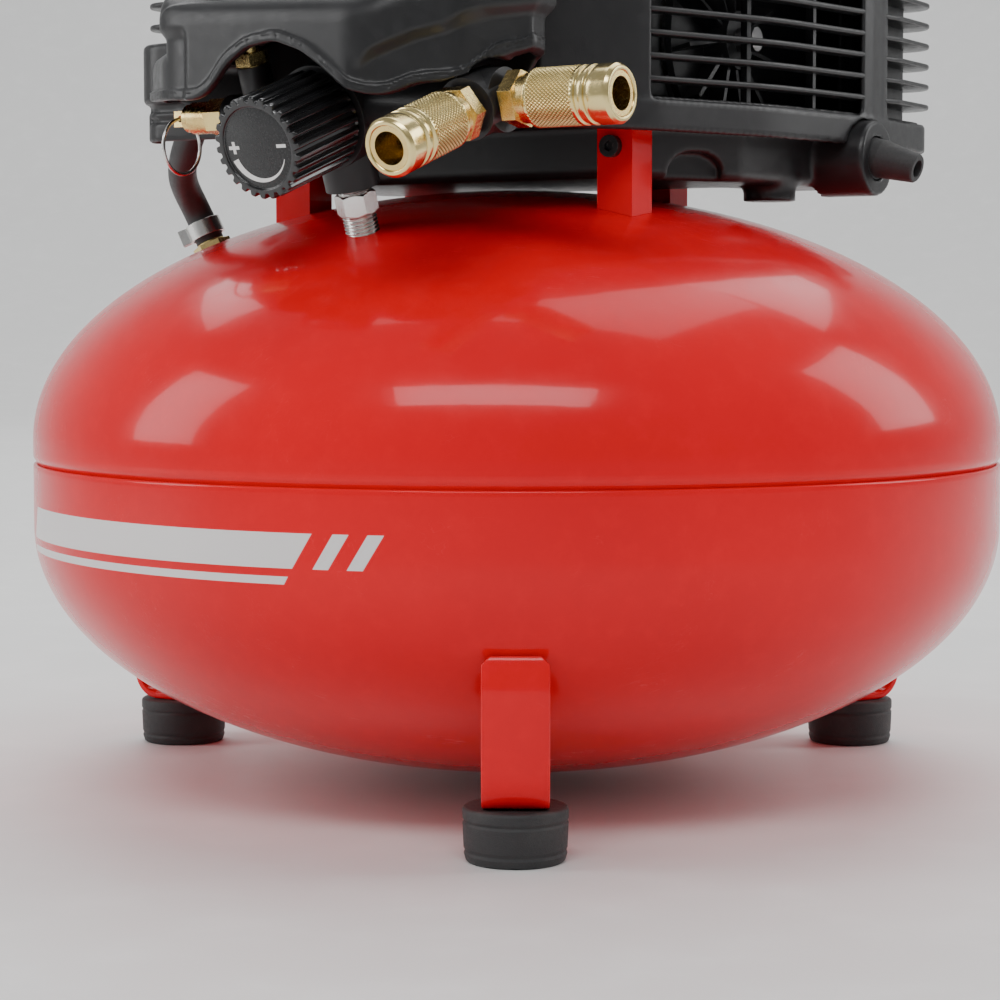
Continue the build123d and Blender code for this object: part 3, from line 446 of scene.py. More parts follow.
def tube(grid):
    """Solid from points (rows, around, 3), its ends capped through their means."""
    rows, around = grid.shape[:2]
    points = np.concatenate([grid.reshape(-1, 3), grid[0].mean(0)[None], grid[-1].mean(0)[None]])
    first, last = rows * around, rows * around + 1
    end = (rows - 1) * around
    faces = [tuple(quad) for quad in strips(rows, around, wrap=False)]
    faces += [(first, (k + 1) % around, k) for k in range(around)]
    faces += [(last, end + k, end + (k + 1) % around) for k in range(around)]
    triangles = np.array([(f[0], f[k], f[k + 1]) for f in faces for k in range(1, len(f) - 1)])
    if volume(points, triangles) < 0:
        faces = [tuple(reversed(f)) for f in faces]
    return points, faces


def ring(grid):
    """Solid from points (rows, around, 3), closed both ways."""
    points = grid.reshape(-1, 3)
    faces = strips(*grid.shape[:2], wrap=True)
    if volume(points, faces) < 0:
        faces = faces[:, ::-1]
    return points, [tuple(int(k) for k in f) for f in faces]


def slab(corners, low, high, place):
    """Flat plate over four corners (a, b); place(a, b, height) gives a point."""
    points = [place(a, b, height) for height in (low, high) for a, b in corners]
    sides = [(k, (k + 1) % 4, (k + 1) % 4 + 4, k + 4) for k in range(4)]
    return np.array(points), [(3, 2, 1, 0), (4, 5, 6, 7)] + sides


def merge(*solids):
    points, faces, count = [], [], 0
    for solid_points, solid_faces in solids:
        points.append(solid_points)
        faces += [tuple(int(k) + count for k in f) for f in solid_faces]
        count += len(solid_points)
    return np.concatenate(points), faces


def rounded(points, radius, steps=4, closed=False):
    """Path with each corner made an arc; radius is one number or one per point."""
    points = [np.array(p, float) for p in points]
    count = len(points)
    radii = [radius] * count if isinstance(radius, (int, float)) else list(radius)
    path = []
    for i, corner in enumerate(points):
        if (not closed and i in (0, count - 1)) or radii[i] <= 0:
            path.append(corner)
            continue
        back, ahead = points[i - 1] - corner, points[(i + 1) % count] - corner
        back_length, ahead_length = np.linalg.norm(back), np.linalg.norm(ahead)
        back, ahead = back / back_length, ahead / ahead_length
        angle = math.acos(max(-1, min(1, float(back @ ahead))))
        if angle > math.pi - 0.02:
            path.append(corner)
            continue
        reach = min(radii[i] / math.tan(angle / 2), 0.48 * back_length, 0.48 * ahead_length)
        arc_radius = reach * math.tan(angle / 2)
        middle = back + ahead
        centre = corner + middle / np.linalg.norm(middle) * arc_radius / math.sin(angle / 2)
        start, end = corner + back * reach - centre, corner + ahead * reach - centre
        sweep = math.pi - angle
        for k in range(steps + 1):
            f = k / steps
            path.append(centre + (start * math.sin((1 - f) * sweep) + end * math.sin(f * sweep))
                        / math.sin(sweep))
    return np.array(path)


def dense(path, step):
    """Path with points added so that none are further apart than step."""
    points = [np.array(path[0], float)]
    for a, b in zip(path[:-1], path[1:]):
        a, b = np.array(a, float), np.array(b, float)
        count = max(1, int(math.ceil(np.linalg.norm(b - a) / step)))
        points += [a + (b - a) * i / count for i in range(1, count + 1)]
    return np.array(points)


def unit_rows(vectors):
    return vectors / np.linalg.norm(vectors, axis=1)[:, None]


def revolve(profile, base, axis, shape=None, around=96, start=None, closed=False):
    """Solid turned from (along, radius) rows; shape(along, radius, angle) gives new radii.

    start is the direction of angle 0; a closed profile makes a ring without caps.
    """
    axis = np.asarray(axis, float) / np.linalg.norm(axis)
    if start is None:
        start = (0, 0, 1.0) if abs(axis[2]) < 0.9 else (1.0, 0, 0)
    x = np.asarray(start, float)
    x = x - axis * (x @ axis)
    x /= np.linalg.norm(x)
    y = np.cross(axis, x)
    profile = np.asarray(profile, float)
    turn = np.linspace(0, 2 * math.pi, around, endpoint=False)
    along = np.repeat(profile[:, :1], around, 1)
    radius = np.repeat(profile[:, 1:2], around, 1)
    angle = np.repeat(turn[None], len(profile), 0)
    if shape:
        radius = shape(along, radius, angle)
    grid = (np.asarray(base) + along[..., None] * axis + (radius * np.cos(angle))[..., None] * x
            + (radius * np.sin(angle))[..., None] * y)
    return ring(grid) if closed else tube(grid)


def smoothstep(value):
    value = np.clip(value, 0, 1)
    return value * value * (3 - 2 * value)


# ---------------------------------------------------------------- distance fields
# A field is negative inside its shape. A grid is the (x, y, z) arrays in the head frame.
def prism(plan, grid):
    """Signed distance to a plan outline, the same at every height."""
    plan = np.asarray(plan, float)
    x, y = grid[0][:, :, 0], grid[1][:, :, 0]
    squared = np.full(x.shape, 1e12)
    sign = np.ones(x.shape)
    for i in range(len(plan)):
        a, b = plan[i], plan[i - 1]
        edge = b - a
        from_x, from_y = x - a[0], y - a[1]
        t = np.clip((from_x * edge[0] + from_y * edge[1]) / max(edge @ edge, 1e-12), 0, 1)
        squared = np.minimum(squared, (from_x - edge[0] * t) ** 2 + (from_y - edge[1] * t) ** 2)
        above, below, left = y >= a[1], y < b[1], edge[0] * from_y > edge[1] * from_x
        crossed = (above & below & left) | (~above & ~below & ~left)
        sign = np.where(crossed, -sign, sign)
    return (sign * np.sqrt(squared))[:, :, None]


def box(grid, u, v, z, radius=0.0):
    q = [np.abs(c - (low + high) / 2) - ((high - low) / 2 - radius)
         for c, (low, high) in zip(grid, (u, v, z))]
    outside = np.sqrt(sum(np.maximum(k, 0) ** 2 for k in q))
    return outside + np.minimum(overlap(*q), 0) - radius


def rod(grid, start, end, radius):
    start, end = np.asarray(start, float), np.asarray(end, float)
    length = np.linalg.norm(end - start)
    axis = (end - start) / length
    away = [c - s for c, s in zip(grid, start)]
    t = sum(w * a for w, a in zip(away, axis))
    from_axis = np.sqrt(sum((w - t * a) ** 2 for w, a in zip(away, axis)))
    return np.maximum(from_axis - radius, np.abs(t - length / 2) - length / 2)


def overlap(*fields):
    return functools.reduce(np.maximum, fields)


def meet_round(a, b, radius):
    """Intersection with a rounded edge."""
    a, b = a + radius, b + radius
    return np.minimum(np.maximum(a, b), 0) + np.hypot(np.maximum(a, 0), np.maximum(b, 0)) - radius


def meet(a, b, soft):
    """Intersection, its edge blended over the soft width."""
    h = np.clip(0.5 - 0.5 * (b - a) / soft, 0, 1)
    return b + (a - b) * h + soft * h * (1 - h)


def join(a, b, soft):
    return -meet(-a, -b, soft)


def cut(shape, tool, soft=0.0):
    return meet(shape, -tool, soft) if soft else np.maximum(shape, -tool)


def implicit(field, u, v, z, step):
    """Quads of a field's zero level over a box in the head frame."""
    step = step * COARSE
    axes = [np.arange(low - 3 * step, high + 3 * step, step) for low, high in (u, v, z)]
    values = field(np.meshgrid(*axes, indexing="ij"))
    values = np.clip(values, -4 * step, 4 * step).astype(np.float32)
    level_set = vdb.FloatGrid(4 * step)
    level_set.copyFromArray(values)
    points, quads = level_set.convertToQuads(0.0)
    points = np.array(points, float) * step + np.array([axis[0] for axis in axes])
    faces = np.array(quads, np.int64)
    if volume(points, faces) < 0:
        faces = faces[:, ::-1].copy()
    return from_head(points), faces


# ---------------------------------------------------------------- tank
TANK_RADIUS, TANK_WALL, DISH = 206.0, 2.0, 104.92
TANK_BOTTOM, TANK_TOP = 6.57, 252.9
# Upper shell's stepped-in edge inside the lower rim: height, radius
JOGGLE = [(141.6, 206.0), (141.0, 205.93), (140.2, 205.6), (139.3, 204.95), (138.4, 204.35),
          (137.6, 203.98), (136.8, 203.93), (126.4, 203.93), (126.0, 203.5), (126.0, 202.3),
          (126.4, 201.95), (137.0, 201.95), (138.4, 202.3), (140.0, 203.4), (142.0, 204.0)]


def dish(pole, depth, radius):
    """Elliptical profile (height, radius) from its pole out to the widest point."""
    return [(pole + depth * (1 - math.cos(a)), radius * math.sin(a))
            for a in np.linspace(0, math.pi / 2, 90)]


def tank():
    inner_radius, inner_dish = TANK_RADIUS - TANK_WALL, DISH - TANK_WALL
    widest = TANK_BOTTOM + DISH
    rim = [(widest + k * 3.0, TANK_RADIUS) for k in range(1, 9)]
    rim += [(137.0 + math.sin(a), TANK_RADIUS - 1 + math.cos(a))
            for a in np.linspace(0, math.pi, 9)]
    lower = (dish(TANK_BOTTOM, DISH, TANK_RADIUS) + rim + [(125.0, inner_radius)]
             + dish(TANK_BOTTOM + TANK_WALL, inner_dish, inner_radius)[::-1])
    upper = (dish(TANK_TOP, -DISH, TANK_RADIUS)
             + [(147.9 - k * 1.5, TANK_RADIUS) for k in range(1, 4)]
             + JOGGLE + [(145, inner_radius)]
             + dish(TANK_TOP - TANK_WALL, -inner_dish, inner_radius)[::-1])
    for half, profile in (("lower", lower), ("upper", upper)):
        profile = [(z, max(r, 0.02)) for z, r in profile]      # a pinhole at the poles
        build(f"tank_{half}_look",
              revolve(profile, (0, 0, 0), VERTICAL, around=384, closed=True),
              "tank_paint", f"tank_{half}_shell", sharp=40)


# ---------------------------------------------------------------- legs and feet
LEG_PATH = [(163, 22.0), (198.5, 22.0), (198.5, 67.2), (196.2, 77.5)]      # radius, height
LEG_HALF_WIDTH, LEG_HALF_THICK = 12.5, 1.5
FOOT_FROM_AXIS = 181
# Foot section: height, radius, corner radius
FOOT = [(6.0, 9.1, 0), (0.05, 9.1, 0.5), (0.05, 18.2, 1.2), (3.0, 19.1, 0.4), (4.2, 18.7, 0.4),
        (5.4, 19.2, 0.4), (14.2, 19.55, 0.4), (15.2, 19.0, 0.4), (16.2, 19.6, 0.6),
        (20.4, 19.6, 1.3), (20.4, 9.5, 0.3), (19.5, 6.1, 0.3), (8.2, 6.1, 0.3), (8.0, 9.1, 0)]


def legs():
    path = dense(rounded(LEG_PATH, [0, 11, 30, 0], 10), 1.2)
    tangents = unit_rows(np.gradient(path, axis=0))
    normals = np.stack([-tangents[:, 1], tangents[:, 0]], 1)
    travelled = np.linalg.norm(np.diff(path, axis=0), axis=1)
    travelled = np.concatenate([[0], np.cumsum(travelled)])
    length = travelled[-1]
    w, t = LEG_HALF_WIDTH, LEG_HALF_THICK
    section = rounded([(-w, -t), (w, -t), (w, t), (-w, t)], 0.75, 4, True)
    foot = rounded([row[:2] for row in FOOT], [row[2] for row in FOOT], 4)
    for leg, degrees in (("front_leg", -90), ("right_leg", 30), ("left_leg", 150)):
        c, s = math.cos(math.radians(degrees)), math.sin(math.radians(degrees))
        rows = []
        for point, normal, done in zip(path, normals, travelled):
            # narrower and thinner at both ends
            half_width = min(w, 9.4 + (length - done), 11.4 + min(done, 1.1))
            thin = 1.0 if 0.5 < done < length - 0.5 else 0.7
            side = section[:, 0] * (half_width / w)
            radius, z = (point[i] + normal[i] * section[:, 1] * thin for i in (0, 1))
            rows.append(np.stack([radius * c - side * s, radius * s + side * c, z], 1))
        build(leg + "_look", tube(np.array(rows)), "tank_red", leg)
        centre = (FOOT_FROM_AXIS * c, FOOT_FROM_AXIS * s, 0)
        build("foot_" + leg[:5], revolve(foot, centre, VERTICAL, closed=True),
              "foot_rubber", "rubber_feet", sharp=40)


# ---------------------------------------------------------------- head covers
COVER_BASE, COVER_TOP = 272, 415.0
COVER_SEAM = 0.06           # each cover stops this far from u = 0
WINDOW_BASE, WINDOW_TOP = 285.0, 390.7
BLADE_PITCH = 9.0
WINDOW = (WINDOW_BASE, WINDOW_TOP)
HIGH_WINDOW = (WINDOW_BASE + 3 * BLADE_PITCH, WINDOW_TOP)
# Right side window, (u, v): it cuts through the wall between its front and rear edges
RIGHT_WINDOW = [(90, -54), (116, -64), (142, 8), (150, 72), (120, 72), (108, 8)]


def cover_shell(grid, side):
    """Hollow cover, open below; side is the distance to its plan outline."""
    z = grid[2]
    above_skirt = np.clip((z - 283.6) / 0.8, 0, 1) * 0.7       # the wall steps in here
    shell = meet_round(side + above_skirt, z - COVER_TOP, 9.0)
    shell = cut(shell, meet_round(side + WALL, z - (COVER_TOP - WALL), 7.0))
    shell = meet(shell, COVER_BASE - z, 0.8)
    # opening behind the console
    return cut(shell, box(grid, (-84, 84), (-116, -98), (287, 362), 2.0), 0.6)


def right_cover(grid):
    x, y, z = grid
    side = prism(rounded(HEAD_PLAN, COVER_RADII, 10, True), grid)
    shell = cover_shell(grid, side)
    band = np.abs(z - (WINDOW_BASE + WINDOW_TOP) / 2) - (WINDOW_TOP - WINDOW_BASE) / 2
    shell = cut(shell, meet_round(prism(RIGHT_WINDOW, grid), band, 3.0), 0.6)
    rear = np.minimum(box(grid, (20, 150), (142, 164), WINDOW, 3.0),
                      box(grid, (112, 150), (97, 164), WINDOW, 3.0))
    shell = cut(shell, rear, 0.6)
    # set-back wall behind the fins at the rear corner, and the plate closing its front end
    height = np.maximum(280.0 - z, z - 413.5)
    back = overlap(np.abs(side + 11.0) - 1.1, 84.0 - x, 91.0 - y, height)
    plate = overlap(np.abs(y - 92.2) - 1.1, side + 1.0, -(side + 12.0), height, 84.0 - x)
    shell = join(shell, np.minimum(back, plate), 1.0)
    # upright partition with a round hole
    partition = overlap(np.abs(x - 84) - 1.2, 287.0 - z, meet_round(side + 1.2, z - 413.8, 7.0))
    partition = cut(partition, np.hypot(y - 14, z - 313) - 41.0, 0.8)
    shell = join(shell, partition, 1.0)
    # clearance round the tray's boss
    shell = cut(shell, rod(grid, (100, BOSS_V, BOSS_Z), (145, BOSS_V, BOSS_Z),
                           BOSS_RADIUS + 0.6))
    return np.maximum(shell, COVER_SEAM - x)


def left_cover(grid):
    side = prism(rounded(HEAD_PLAN, COVER_RADII, 10, True), grid)
    shell = cover_shell(grid, side)
    shell = cut(shell, box(grid, (-96, -20), (142, 164), WINDOW, 3.0), 0.6)
    # left side window, running round the front corner in its upper part
    around_corner = np.minimum(box(grid, (-136, -110), (-118, 56), HIGH_WINDOW, 3.0),
                               box(grid, (-136, -66), (-118, -98), HIGH_WINDOW, 3.0))
    left = np.minimum(box(grid, (-136, -112), (-84, 56), WINDOW, 3.0), around_corner)
    shell = cut(shell, left, 0.6)
    # rounded lobe at the front left corner, with two slits under it
    z = grid[2]
    lobe = meet_round(prism(rounded(HEAD_PLAN, COVER_RADII, 6, True), grid) - 2.2,
                      np.maximum(287.5 - z, z - 312.5), 2.2)
    lobe = np.maximum(lobe, box(grid, (-130, -96), (-114, -84), (280, 320), 4.0))
    shell = join(shell, np.maximum(lobe, -(side + 1.5)), 1.2)
    for base in (279.6, 283.6):
        slit = box(grid, (-116, -99), (-114, -104), (base, base + 2.2), 1.0)
        shell = cut(shell, np.maximum(slit, -(side + 1.4)), 0.5)
    # notches in the left edge behind that corner
    shell = cut(shell, box(grid, (-134, -98.0), (-93.5, -64.5), (250, 293), 3.0))
    shell = cut(shell, box(grid, (-134, -98.0), (-93.5, -50.5), (250, 284), 1.0))
    return np.maximum(shell, COVER_SEAM + grid[0])


def covers():
    height = (COVER_BASE, COVER_TOP)
    for name, field, u, v in (("right_shroud", right_cover, (0, 131), (-108, 152)),
                              ("left_shroud", left_cover, (-126, 0), (-111, 152))):
        build(name + "_look", implicit(field, u, v, height, step=1.15),
              "black_plastic", name, sharp=0)


# ---------------------------------------------------------------- louvre blades
BLADE_BASES = [WINDOW_BASE + BLADE_PITCH * i for i in range(11)]
BLADE_RISE = 7.85           # blade middle above its base
RIB_BASE, RIB_TOP = WINDOW_BASE - 1.5, 392.0
# Both sections: distance in from the wall, then height (blade) or distance along it (rib)
BLADE_SECTION = [(0.75, 0.95), (0.75, -1.35), (6.4, -1.75), (6.4, 0.35)]
RIB_SECTION = [(4.2, -1.1), (4.2, 1.1), (8.0, 0.9), (8.0, -0.9)]
# Name, start and end near the outline (u, v), blade bases, rib places (share of the way), rib base
GRILLES = (
    ("right_grille", (95, -68), (131.5, 82), BLADE_BASES, (0.34, 0.67), RIB_BASE),
    ("right_rear", (130.3, 93), (17, 152), BLADE_BASES, (0.56, 0.8), RIB_BASE),
    ("left_rear", (-17, 152), (-99, 152), BLADE_BASES, (0.34, 0.67), RIB_BASE),
    ("left_side", (-124, 59), (-120, -87), BLADE_BASES[:3], (), RIB_BASE),
    ("left_corner", (-124, 59), (-63, -108), BLADE_BASES[3:], (0.34, 0.67), 311.0))


def blades():
    """Blades swept along the wall, their noses near its outer face, with upright ribs behind."""
    outline = list(rounded(HEAD_PLAN, COVER_RADII, 14, True))
    outline = dense(outline + [outline[0]], 2.0)[:-1]
    section = rounded(BLADE_SECTION, [0.9, 0.9, 0.5, 0.5], 4, True)
    for name, start, end, bases, ribs, rib_base in GRILLES:
        first, last = (int(np.argmin(((outline - p) ** 2).sum(1))) for p in (start, end))
        steps = (last - first) % len(outline)
        path = outline[(first + np.arange(steps + 1)) % len(outline)]
        tangents = unit_rows(np.gradient(path, axis=0))
        inward = np.stack([-tangents[:, 1], tangents[:, 0]], 1)
        solids = []
        for base in bases:
            rows = []
            for k, (point, inn) in enumerate(zip(path, inward)):
                # the rear right fins stand proud of the wall and run deeper
                grow = min(min(k, steps - k) / 6.0, 1.0) if name == "right_rear" else 0.0
                rows.append([(*(point + inn * (a - 2.3 * grow if a < 3 else a + 3.6 * grow)),
                              base + BLADE_RISE + b) for a, b in section])
            solids.append(tube(np.array(rows)))
        for share in ribs:
            k = int(len(path) * share)
            rows = [[(*(path[k] + inward[k] * a + tangents[k] * b), z) for a, b in RIB_SECTION]
                    for z in (rib_base, RIB_TOP)]
            solids.append(tube(np.array(rows)))
        points, faces = merge(*solids)
        build(name + "_blades", (from_head(points), faces), "black_plastic",
              name.split("_")[0] + "_shroud", sharp=32)


# ---------------------------------------------------------------- console
CONSOLE_TOP, CONSOLE_ROOF = 366.0, 2.8
PANEL_FOOT_V, PANEL_FOOT_Z = -174, 313
# Lower edge of the console: u, z
LOWER_EDGE = np.array([
    (-100, 289), (-88, 285.5), (-70, 284), (-51.3, 282.9), (-41.4, 282.0), (-35, 283.2),
    (-30.1, 286.4), (-22.4, 295.0), (-12.3, 300.8), (1.1, 302.3), (14.2, 297.8), (24.3, 291.0),
    (35.1, 282.5), (43.5, 280.4), (50.1, 281.1), (58.0, 284.6), (65.6, 285.2), (73.2, 286.0),
    (77.2, 291.2), (80.1, 297.0), (84.0, 297.5), (88.2, 303.0)])
# Upper edge of the hollow low on the right: u, z
HOLLOW_EDGE = np.array([(40, 294.5), (44.5, 298.5), (51.1, 301.6), (58, 304.6), (67.6, 307.2),
                        (76.8, 313.5), (90, 318)])
# Clearance holes, in the regulator frame: start, end, radius
REGULATOR_HOLES = (
    ((0, 20, 0), (0, -90, 0), 25.0),
    ((48, RIGHT_COUPLER_BACK, 0), (140, RIGHT_COUPLER_BACK, 0), 15.4),
    ((COUPLER_X, 10, 0), (COUPLER_X, -90, 0), 12.6),
    ((-30, 0, 0), (-100, 0, 0), 10.0))


def console_field(grid):
    x, y, z = grid
    u = x[:, :, 0]
    _, normal_v, normal_z = PANEL_NORMAL
    # height above the smoothed lower edge, squared up to its slope
    edge_u = np.linspace(-100, 88, 120)
    edge_z = np.interp(edge_u, LOWER_EDGE[:, 0], LOWER_EDGE[:, 1])
    edge_z[2:-2] = np.convolve(edge_z, np.array([1, 2, 3, 2, 1]) / 9.0, "valid")
    slope_cosine = 1.0 / np.sqrt(1.0 + np.gradient(edge_z, edge_u) ** 2)
    above_edge = ((z - np.interp(u, edge_u, edge_z)[:, :, None])
                  * np.interp(u, edge_u, slope_cosine)[:, :, None])

    side = prism(rounded(CONSOLE_PLAN, CONSOLE_RADII, 10, True), grid)
    hollow_z = np.interp(u, HOLLOW_EDGE[:, 0], HOLLOW_EDGE[:, 1])[:, :, None]
    hollow = 3.4 * smoothstep((hollow_z - z) / 5.0) * np.clip((x - 36) / 9.0, 0, 1)
    side = side + hollow
    panel = y * normal_v + z * normal_z - (PANEL_FOOT_V * normal_v + PANEL_FOOT_Z * normal_z)
    outer = meet(meet_round(side, panel, 5.0), meet(panel, z - CONSOLE_TOP, 3.0), 2.0)
    # the panel is let in, which leaves a raised border round it
    field = np.maximum(np.abs(x - SWITCH_U) - 68.0, np.abs((y + 143) / normal_z) - 31.0)
    let_in = 1.1 * np.clip(-(field + 3) / 1.2 + 0.5, 0, 1) * np.clip((panel + 6) / 4, 0, 1)
    outer = np.where(z > 300, outer + let_in, outer)
    # the hollow is in this wall too, so its thickness holds
    inner = meet(meet(side + WALL, panel + CONSOLE_ROOF, 3.0), z - (CONSOLE_TOP - CONSOLE_ROOF),
                 2.0)
    # narrower above the rounded lobe at the left
    narrowing = np.maximum(x + 64.6, 305.5 - z)
    outer = cut(outer, narrowing, 6.0)
    inner = cut(inner, narrowing - WALL, 4.0)
    lobe = 2.4 * smoothstep(np.clip((-43.0 - x) / 4.0, 0, 1) * np.clip((311 - z) / 5.0, 0, 1))
    outer = outer + lobe
    inner = inner + lobe
    # raised lip along the lower edge, with a groove in it
    outer = outer - 1.5 * smoothstep((4.4 - above_edge) / 0.9) * np.clip((-112 - y) / 3.0, 0, 1)
    outer = outer + 0.55 * np.clip(1 - np.abs(above_edge - 2.4) / 0.8, 0, 1)
    shell = cut(outer, inner)
    shell = cut(shell, above_edge, 1.1)
    shell = meet(shell, y + 108.6, 0.8)
    for gauge_u in GAUGES_U:
        centre = np.array([gauge_u, PANEL_V, PANEL_Z])
        through = PANEL_NORMAL * 12
        shell = cut(shell, rod(grid, centre - through, centre + through, 19.05), 0.5)
    depth = (y - PANEL_V) * normal_v + (z - PANEL_Z) * normal_z
    up_panel = (y - PANEL_V) * normal_z - (z - PANEL_Z) * normal_v
    shell = cut(shell, overlap(np.abs(x - SWITCH_U) - 9.5, np.abs(up_panel) - 13.5,
                               np.abs(depth) - 10))
    for start, end, radius in REGULATOR_HOLES:
        start, end = (turned(at_regulator(*p), -HEAD_YAW) for p in (start, end))
        shell = cut(shell, rod(grid, start, end, radius), 0.8)
    return shell


def console():
    solid = implicit(console_field, (-101, 90), (-177, -108), (276, 367), step=0.85)
    build("console_look", solid, "black_plastic", "console_cover", sharp=0)


# ---------------------------------------------------------------- tray
TUB_TOP, TUB_BASE = 276.0, 254.6
TUB_BATTER = 0.07           # inward lean of the tub's walls
ARCH_U, ARCH_V, ARCH_Z = 95.8, -14.2, 258.2
# Notches in the tub's front and rear walls: wall v, u ranges, then v ranges from the wall of
# the block behind, the cut in the wall and the cut at the right-hand end
NOTCHES = ((-54.5, ((-88.0, -70.0), (72.0, 88.0)), (3.05, 16), (-3, 3.3), (-3, 17)),
           (58.0, ((-96.0, -78.0), (29.0, 45.0)), (-16, -3.05), (-3.5, 3), (-3.3, 14)))


def tub_field(grid, side):
    """Battered tub under the tray, with a round boss below and an arched recess at the right."""
    x, y, z = grid
    battered = side + (TUB_TOP - z) * TUB_BATTER
    tub = np.maximum(meet_round(battered, TUB_BASE - z, 4.0), z - TUB_TOP)
    boss = overlap(np.hypot(x - 98, y - 46) - 11.0, 248.0 - z, z - 262)
    tub = join(tub, boss, 3.5)
    inner = np.maximum(battered + WALL, TUB_BASE + WALL - z)
    run_u, run_v = np.subtract(TUB_PLAN[3], TUB_PLAN[2])
    out_u, out_v = np.array([run_v, -run_u]) / math.hypot(run_u, run_v)
    along = (y - ARCH_V) * out_u - (x - ARCH_U) * out_v
    outward = (x - ARCH_U) * out_u + (y - ARCH_V) * out_v
    arch = np.maximum(np.hypot(along / 1.7, np.maximum(z - ARCH_Z, 0.0)) - 7.9, -(outward + 5.5))
    tub = cut(tub, arch, 0.9)
    inner = cut(inner, arch - 2.2, 0.5)
    return cut(tub, inner)


def tray_field(grid):
    x, y, z = grid
    side = prism(rounded(HEAD_PLAN, TRAY_RADII, 8, True), grid) + 3.0
    tub_side = prism(rounded(TUB_PLAN, TUB_RADII, 6, True), grid)
    flange = meet_round(side, np.abs(z - 276.5) - 1.5, 0.7)
    rim = overlap(meet_round(side, z - 286.0, 0.8), -(side + 2.3), 275.0 - z)
    body = join(flange, rim, 1.0)
    body = cut(body, np.maximum(tub_side + WALL, np.abs(z - TUB_TOP) - 6))
    body = join(body, tub_field(grid, tub_side), 1.2)
    boss = overlap(np.hypot(y - BOSS_V, z - BOSS_Z) - BOSS_RADIUS, 110 - x, x - 136)
    body = join(body, meet(boss, x - 135.6, 2.0), 2.0)
    body = cut(body, rod(grid, (100, BOSS_V, BOSS_Z), (140, BOSS_V, BOSS_Z), 9.4))
    for wall, spans, block, wall_cut, end_cut in NOTCHES:
        block, wall_cut, end_cut = ((wall + a, wall + b) for a, b in (block, wall_cut, end_cut))
        for left, right in spans:
            block_field = box(grid, (left + 0.5, right - 3.4), block, (256, TUB_TOP), 1.0)
            body = join(body, block_field, 0.8)
            body = cut(body, box(grid, (left - 0.7, right + 0.6), wall_cut, (240, 274.7)))
            body = cut(body, box(grid, (right - 3.3, right + 0.6), end_cut, (240, 274.7)))
    # notch at the front left
    return cut(body, box(grid, (-134, -98.2), (-93.3, -50.7), (250, 293), 3.0))


def tray():
    solid = implicit(tray_field, (-124, 137), (-106, 150), (246, 287), step=1.2)
    build("tray_look", solid, "black_plastic", "base_tray", sharp=0)


# ---------------------------------------------------------------- regulator knob
KNOB_RIBS = 26
# Knob section from its back: along the axis, radius, corner radius
KNOB = [(0.0, 9.6, 0.3), (0.0, 18.6, 0.8), (2.0, 19.7, 1.0), (39.1, 19.7, 0.4),
        (39.8, 19.1, 0.4), (39.8, 15.9, 0.4), (39.0, 15.7, 0.3), (39.0, 3.0, 0)]
LABEL = [(38.45, 0.3), (38.45, 15.45), (39.02, 15.45), (39.02, 0.3)]
PRINT_BACK, PRINT_FACE = 39.0, 39.1
# Minus and plus bars: centre right, centre up, width, height
PRINT_BARS = ((-11.2, 0.4, 4.8, 1.3), (-11.2, 1.9, 1.3, 1.7), (-11.2, -1.1, 1.3, 1.7),
              (11.2, 0.4, 4.4, 1.3))


def fluted(along, radius, angle):
    """Flutes cut between the knob's ribs, only near its outer radius."""
    turn = (angle * KNOB_RIBS / (2 * math.pi)) % 1.0
    rib = smoothstep((np.abs(turn - 0.5) * 2 - 0.30) / 0.36)
    where = np.clip((radius - 17.0) / 1.6, 0, 1) * np.clip((along + 0.1) / 1.2, 0, 1)
    return radius - 1.75 * (1 - rib) * where


def knob():
    base = at_regulator(0, -11.2, 0)
    profile = dense(rounded([row[:2] for row in KNOB], [row[2] for row in KNOB], 3), 0.9)
    profile = [(0.0, 7.2), *profile, (38.4, 3.0), (38.4, 7.2)]
    build("regulator_knob_look",
          revolve(profile, base, FRONT, fluted, KNOB_RIBS * 14, RIGHT, closed=True),
          "knob_plastic", "regulator_knob", body="knob_body", sharp=50)
    build("knob_label_look", revolve(rounded(LABEL, 0.15, 2), base, FRONT),
          "label_film", "knob_label", body="knob_body", sharp=40)

    def place(right, up, out):
        return base + RIGHT * right + UP * up + FRONT * out

    solids = []
    for x, y, width, height in PRINT_BARS:
        w, h = width / 2, height / 2
        corners = [(x - w, y - h), (x + w, y - h), (x + w, y + h), (x - w, y + h)]
        solids.append(slab(corners, PRINT_BACK, PRINT_FACE, place))
    # tapered arc below the signs
    rows = []
    for k, angle in enumerate(np.radians(np.linspace(200, 338, 48))):
        half = np.interp(k, [0, 47], [1.35, 0.12])
        rows.append([place(r * math.cos(angle), r * math.sin(angle), out) for r, out in (
            (12.4 - half, PRINT_BACK), (12.4 + half, PRINT_BACK),
            (12.4 + half, PRINT_FACE), (12.4 - half, PRINT_FACE))])
    solids.append(tube(np.array(rows)))
    build("knob_print", merge(*solids), "print_white", body="knob_body")


# ---------------------------------------------------------------- couplers and nipple
SLEEVE_RADIUS, SLEEVE_LENGTH = 11.0, 37.0
KNURL_TEETH, KNURL_LEAD, KNURL_DEPTH = 46, 1.75, 0.48
KNURL_STEPS = 552


